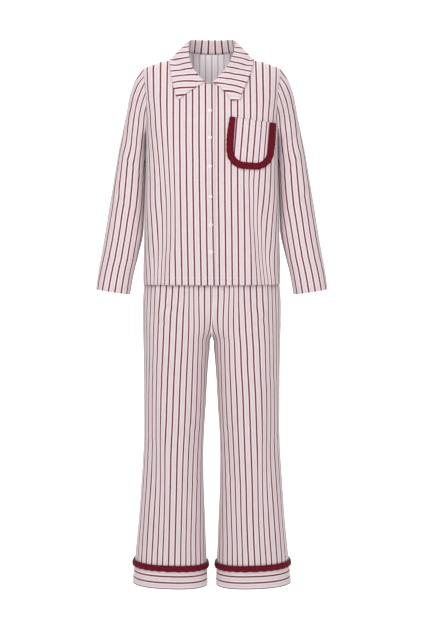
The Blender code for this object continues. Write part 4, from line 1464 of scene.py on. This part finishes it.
def make_cuff(side):
    drops = np.linspace(CUFF_SEAM, LEG_HEM, CUFF_ROWS)
    grid = np.array([leg_ring(side, drop, RING_COLUMNS, np.zeros(RING_COLUMNS)) for drop in drops])
    uv = ring_uv(grid, drops - LEG_HEM + HEM_STRIPE * STRIPE_PITCH, swapped=True)
    if side > 0:
        grid, uv = flipped(grid, uv)
    name = f"cuff_{side_word(side)}"
    piece = shell(name + "_cloth", grid, uv, cotton, cotton_inside, SHOWN_DOUBLED, ring=True)
    return dress(piece, "striped_cloth", name), grid


def make_leg_frill(side):
    count = LEG_WAVES * POINTS_A_WAVE
    waves = frill_waves(count, LEG_WAVES)
    rows = []
    for across in FRILL_ROWS:
        rise = read(FRILL, "rise", across) + read(FRILL, "wave", across) * waves
        drop = CUFF_SEAM - FRILL_ABOVE + across * LEG_FRILL
        rows.append(leg_ring(side, drop, count, DOUBLED + SEAM + rise))
    grid = np.array(rows)
    uv = ring_uv(grid, FRILL_ROWS * LEG_FRILL, swapped=False)
    if side > 0:
        grid, uv = flipped(grid, uv)
    name = side_word(side)
    piece = shell(f"leg_frill_{name}", grid, uv, burgundy, burgundy, SHOWN_DOUBLED, ring=True)
    return dress(piece, "burgundy_trim", f"leg_ruffle_{name}")


WAIST_GATHERS = 64
POINTS_A_GATHER = 6
GATHER_DEPTH = 0.9
GATHER_DRIFT = (5, 0.8)  # turns round the waist, size
WAIST_ROWS = 9


def make_waistband():
    count = POINTS_A_GATHER * WAIST_GATHERS
    turn = np.arange(count) * 2 * pi / count
    drops = np.linspace(WAIST, WAIST_SEAM - SEAM, WAIST_ROWS)[:, None]
    square = read(LEG, "square", drops)
    depth = np.where(np.sin(turn) < 0, read(LEG, "front", drops), read(LEG, "back", drops))
    x = read(LEG, "outer", drops) * power(np.cos(turn), square)
    y = LEG_RIDGE + depth * power(np.sin(turn), square)
    grid = np.stack([x, y, -drops + 0 * x], axis=-1)
    turns, drift = GATHER_DRIFT
    gathers = 0.5 - 0.5 * np.cos(WAIST_GATHERS * turn + drift * np.sin(turns * turn))
    inward = np.stack([-np.cos(turn), -np.sin(turn), 0 * turn], axis=-1)
    grid = grid + inward * (GATHER_DEPTH * gathers)[None, :, None]
    uv = ring_uv(grid, drops[:, 0], swapped=False)
    piece = shell("waistband_cloth", grid, uv, cotton, cotton_inside, SHOWN_ELASTIC, ring=True)
    return dress(piece, "striped_cloth", "waistband")


# ---------------------------------------------------------------- sewing

STITCH_PITCH = 3.4
STITCH_ENDS = (0.14, 0.86)  # of the pitch
STITCH_RADIUS = 0.26
STITCH_RISE = 0.24
STRAND_SHARES = np.array([0.0, 0.2, 0.5, 0.8, 1.0])
STRAND_GIRTHS = np.array([0.3, 0.85, 1.0, 0.85, 0.3])
STRAND_SIDES = 5


def strands(name, starts, ends, outs, radius, rise):
    """Short pieces of thread from each start to each end, bowed out of the cloth."""
    run = ends - starts
    side = np.cross(run, outs)
    side /= np.linalg.norm(side, axis=-1)[:, None]
    shares = STRAND_SHARES[None, :, None]
    middles = starts[:, None] + run[:, None] * shares + outs[:, None] * (rise * 4 * shares * (1 - shares))
    turns = np.arange(STRAND_SIDES) * 2 * pi / STRAND_SIDES
    round_it = side[:, None] * np.cos(turns)[:, None] + outs[:, None] * np.sin(turns)[:, None]
    rings = middles[:, :, None] + round_it[:, None] * (radius * STRAND_GIRTHS[None, :, None, None])
    ring_count = len(STRAND_SHARES)
    faces = []
    for first in range(0, len(starts) * ring_count * STRAND_SIDES, ring_count * STRAND_SIDES):
        last = first + (ring_count - 1) * STRAND_SIDES
        for ring in range(first, last, STRAND_SIDES):
            for k in range(STRAND_SIDES):
                a, b = ring + k, ring + (k + 1) % STRAND_SIDES
                faces.append((a, b, b + STRAND_SIDES, a + STRAND_SIDES))
        faces.append(tuple(range(first + STRAND_SIDES - 1, first - 1, -1)))
        faces.append(tuple(range(last, last + STRAND_SIDES)))
    made = mesh_object(name, rings, faces)
    made.data.materials.append(thread)
    return dress(made, "striped_cloth")


def grid_outs(grid):
    """The cloth's outward direction at each point of a shell's grid."""
    outs = np.cross(np.gradient(grid, axis=0), np.gradient(grid, axis=1))
    return outs / np.linalg.norm(outs, axis=-1)[..., None]


def on_grid(values, rows, columns):
    """A grid's values at places between its rows and columns."""
    row = np.clip(np.floor(rows).astype(int), 0, values.shape[0] - 2)
    column = np.clip(np.floor(columns).astype(int), 0, values.shape[1] - 2)
    down, along = (rows - row)[:, None], (columns - column)[:, None]
    near = mix(values[row, column], values[row, column + 1], along)
    far = mix(values[row + 1, column], values[row + 1, column + 1], along)
    return mix(near, far, down)


def inset(lines, distance):
    """Places, counted in points, at a distance along each of several lines of points."""
    return np.array([np.interp(distance, along, np.arange(len(along))) for along in lengths(lines)])


def sew(name, grid, rows, columns):
    """A line of stitches over a shell's grid, through places between its rows and columns."""
    line, outs = on_grid(grid, rows, columns), on_grid(grid_outs(grid), rows, columns)
    along = lengths(line)
    first = np.arange(int(along[-1] / STITCH_PITCH)) * STITCH_PITCH
    starts, ends = (
        np.stack([np.interp(first + end * STITCH_PITCH, along, line[:, axis]) for axis in range(3)], axis=-1)
        for end in STITCH_ENDS
    )
    up = np.stack([np.interp(first, along, outs[:, axis]) for axis in range(3)], axis=-1)
    up /= np.linalg.norm(up, axis=-1)[:, None]
    return strands(name, starts, ends, up, STITCH_RADIUS, STITCH_RISE)


def sew_row(name, grid, distance, from_end=False, closed=False):
    """Stitches across all of a grid's columns, at a distance from its first or last row."""
    if closed:
        grid = np.concatenate([grid, grid[:, :1]], axis=1)
    columns = np.arange(grid.shape[1], dtype=float)
    lines = (grid[::-1] if from_end else grid).transpose(1, 0, 2)
    rows = inset(lines, distance)
    return sew(name, grid, grid.shape[0] - 1 - rows if from_end else rows, columns)


def sew_column(name, grid, distance, from_end=False):
    """Stitches down all of a grid's rows, at a distance from its first or last column."""
    rows = np.arange(grid.shape[0], dtype=float)
    columns = inset(grid[:, ::-1] if from_end else grid, distance)
    return sew(name, grid, rows, grid.shape[1] - 1 - columns if from_end else columns)


BUTTONHOLE_HALF = 7.0
BUTTONHOLE_STEP = 0.55
BUTTONHOLE_REACH = (0.25, 1.7)  # across, from the slit
BUTTONHOLE_RADIUS = 0.22
BUTTONHOLE_RISE = 0.12
BAR_STITCHES = 3
BUTTON_THREAD = 0.33
BUTTON_THREAD_RISE = 0.35


def make_buttonhole(number, drop, x):
    """Dense short stitches on both sides of an upright slit, with a bar at each end."""
    downs = np.arange(-BUTTONHOLE_HALF, BUTTONHOLE_HALF, BUTTONHOLE_STEP)
    place, right, up, out = surface_frame(x, drop, LAYER)
    starts, ends = (
        [place + up * down + right * (side * reach) for down in downs for side in (-1, 1)]
        for reach in BUTTONHOLE_REACH
    )
    for end in (-1, 1):
        for step in range(BAR_STITCHES):
            bar = place + up * (end * (BUTTONHOLE_HALF + step * BUTTONHOLE_STEP))
            starts.append(bar - right * BUTTONHOLE_REACH[1])
            ends.append(bar + right * BUTTONHOLE_REACH[1])
    outs = np.repeat(out[None], len(starts), axis=0)
    starts, ends = np.array(starts), np.array(ends)
    strands(f"buttonhole_{number}", starts, ends, outs, BUTTONHOLE_RADIUS, BUTTONHOLE_RISE)


def make_button_thread(number, drop, x):
    """Two threads over the button from hole to hole."""
    face = LAYER + BUTTON_REST + BUTTON_THICK * BUTTON_PROFILE[0][1]
    place, right, up, out = surface_frame(x, drop, face)
    starts, ends = (
        np.array([place + up * (level * HOLE_SPREAD) + right * (side * HOLE_SPREAD) for level in (-1, 1)])
        for side in (-1, 1)
    )
    outs = np.repeat(out[None], len(starts), axis=0)
    strands(f"button_thread_{number}", starts, ends, outs, BUTTON_THREAD, BUTTON_THREAD_RISE)


EDGE_STITCH = 4
PLACKET_STITCH = 31
SHIRT_HEM_STITCH = 20
SLEEVE_HEM_STITCH = 25
POCKET_HEM_STITCH = 20
COLLAR_STITCH = 5
CUFF_STITCH = 3

# ---------------------------------------------------------------- the set

front_right, front_right_grid = make_front(-1)
front_left, front_left_grid = make_front(1)
back, back_cloth_grid = make_back()
collar, collar_grid = make_collar()
pocket, pocket_grid = make_pocket()
pocket_frill = make_pocket_frill()
for number, (drop, x) in enumerate(zip(*BUTTONS.values()), start=1):
    make_button(number, drop, x)
    make_button_thread(number, drop, x)
    make_buttonhole(number, drop, x)
waistband = make_waistband()
sleeves = {}
cuffs = {}
for side in (-1, 1):
    sleeves[side], sleeve_grid_shown = make_sleeve(side)
    name = f"sleeve_hem_stitches_{side_word(side)}"
    sew_row(name, sleeve_grid_shown, SLEEVE_HEM_STITCH, from_end=True, closed=True)
    for face in (-1, 1):
        make_leg(side, face)
    cuffs[side], cuff_grid = make_cuff(side)
    sew_row(f"cuff_stitches_{side_word(side)}", cuff_grid, CUFF_STITCH, from_end=True, closed=True)
    make_leg_frill(side)

sew_row("collar_edge_stitches", collar_grid, COLLAR_STITCH)
sew_row("pocket_hem_stitches", pocket_grid, POCKET_HEM_STITCH)
sew_column("front_edge_stitches", front_right_grid, EDGE_STITCH, from_end=True)
sew_column("placket_stitches", front_right_grid, PLACKET_STITCH, from_end=True)
for name, cloth_grid in (("right", front_right_grid), ("left", front_left_grid), ("back", back_cloth_grid)):
    sew_row(f"hem_stitches_{name}", cloth_grid, SHIRT_HEM_STITCH, from_end=True)

# ---------------------------------------------------------------- ground, light and camera


def plain_ground():
    """A pale floor that curves up into a backdrop, in metres."""
    floor_z, near, bend, radius, top, half = -1.75, -9.0, 6.0, 2.0, 8.0, 14.0
    steps = 24
    profile = [(near, floor_z), (bend, floor_z)]
    for k in range(1, steps + 1):
        turn = k / steps * pi / 2
        profile.append((bend + radius * sin(turn), floor_z + radius * (1 - cos(turn))))
    profile.append((bend + radius, top))
    points = [(x / MM, y / MM, z / MM) for y, z in profile for x in (-half, half)]
    faces = [(2 * i, 2 * i + 1, 2 * i + 3, 2 * i + 2) for i in range(len(profile) - 1)]
    made = mesh_object("ground", points, faces)
    pale = plain_material("pale_ground", (0.96, 0.96, 0.96), 0.95, specular=0.0, mottle=0.0)
    made.data.materials.append(pale)


def area_light(name, place, aim, size, watts):
    lamp = bpy.data.lights.new(name, "AREA")
    lamp.shape = "RECTANGLE"
    lamp.size, lamp.size_y = size
    lamp.energy = watts
    made = bpy.data.objects.new(name, lamp)
    made.location = place
    made.rotation_euler = (Vector(aim) - Vector(place)).to_track_quat("-Z", "Y").to_euler()
    bpy.context.scene.collection.objects.link(made)


plain_ground()
world = bpy.data.worlds.new("studio")
world.use_nodes = True
world.node_tree.nodes["Background"].inputs["Color"].default_value = (1.0, 1.0, 1.0, 1.0)
world.node_tree.nodes["Background"].inputs["Strength"].default_value = 0.36
bpy.context.scene.world = world
bpy.context.scene.view_settings.view_transform = "Standard"
area_light("key", (-0.9, -2.2, 1.2), (0, 0, -0.1), (2.0, 2.0), 36)
area_light("fill", (1.3, -2.4, 0.7), (0, 0, -0.2), (2.0, 2.0), 13)
area_light("front", (0.1, -3.2, 0.6), (0, 0, 0.0), (1.2, 1.2), 27)
area_light("backdrop_left", (-3.0, 4.6, 3.0), (-1.0, 7.8, -0.5), (2.5, 2.5), 210)
area_light("backdrop_right", (3.0, 4.6, 3.0), (1.0, 7.8, -0.5), (2.5, 2.5), 210)
area_light("floor", (0, 2.6, 3.6), (0, 3.2, -1.75), (4.0, 4.0), 190)

# The camera: 1486 pixels of focal length on the 421 x 631 frame
CAMERA_PLACE = (-0.0035, -4.0, -0.3924)
CAMERA_DOWN = radians(4.4)
FOCAL_PIXELS = 1486.0
FRAME_HEIGHT = 631.0
camera_data = bpy.data.cameras.new("camera")
camera_data.sensor_width = 36.0
camera_data.lens = FOCAL_PIXELS * camera_data.sensor_width / FRAME_HEIGHT
camera_data.clip_end = 40.0
camera = bpy.data.objects.new("camera", camera_data)
camera.location = CAMERA_PLACE
camera.rotation_euler = (pi / 2 - CAMERA_DOWN, 0, 0)
bpy.context.scene.collection.objects.link(camera)
bpy.context.scene.camera = camera
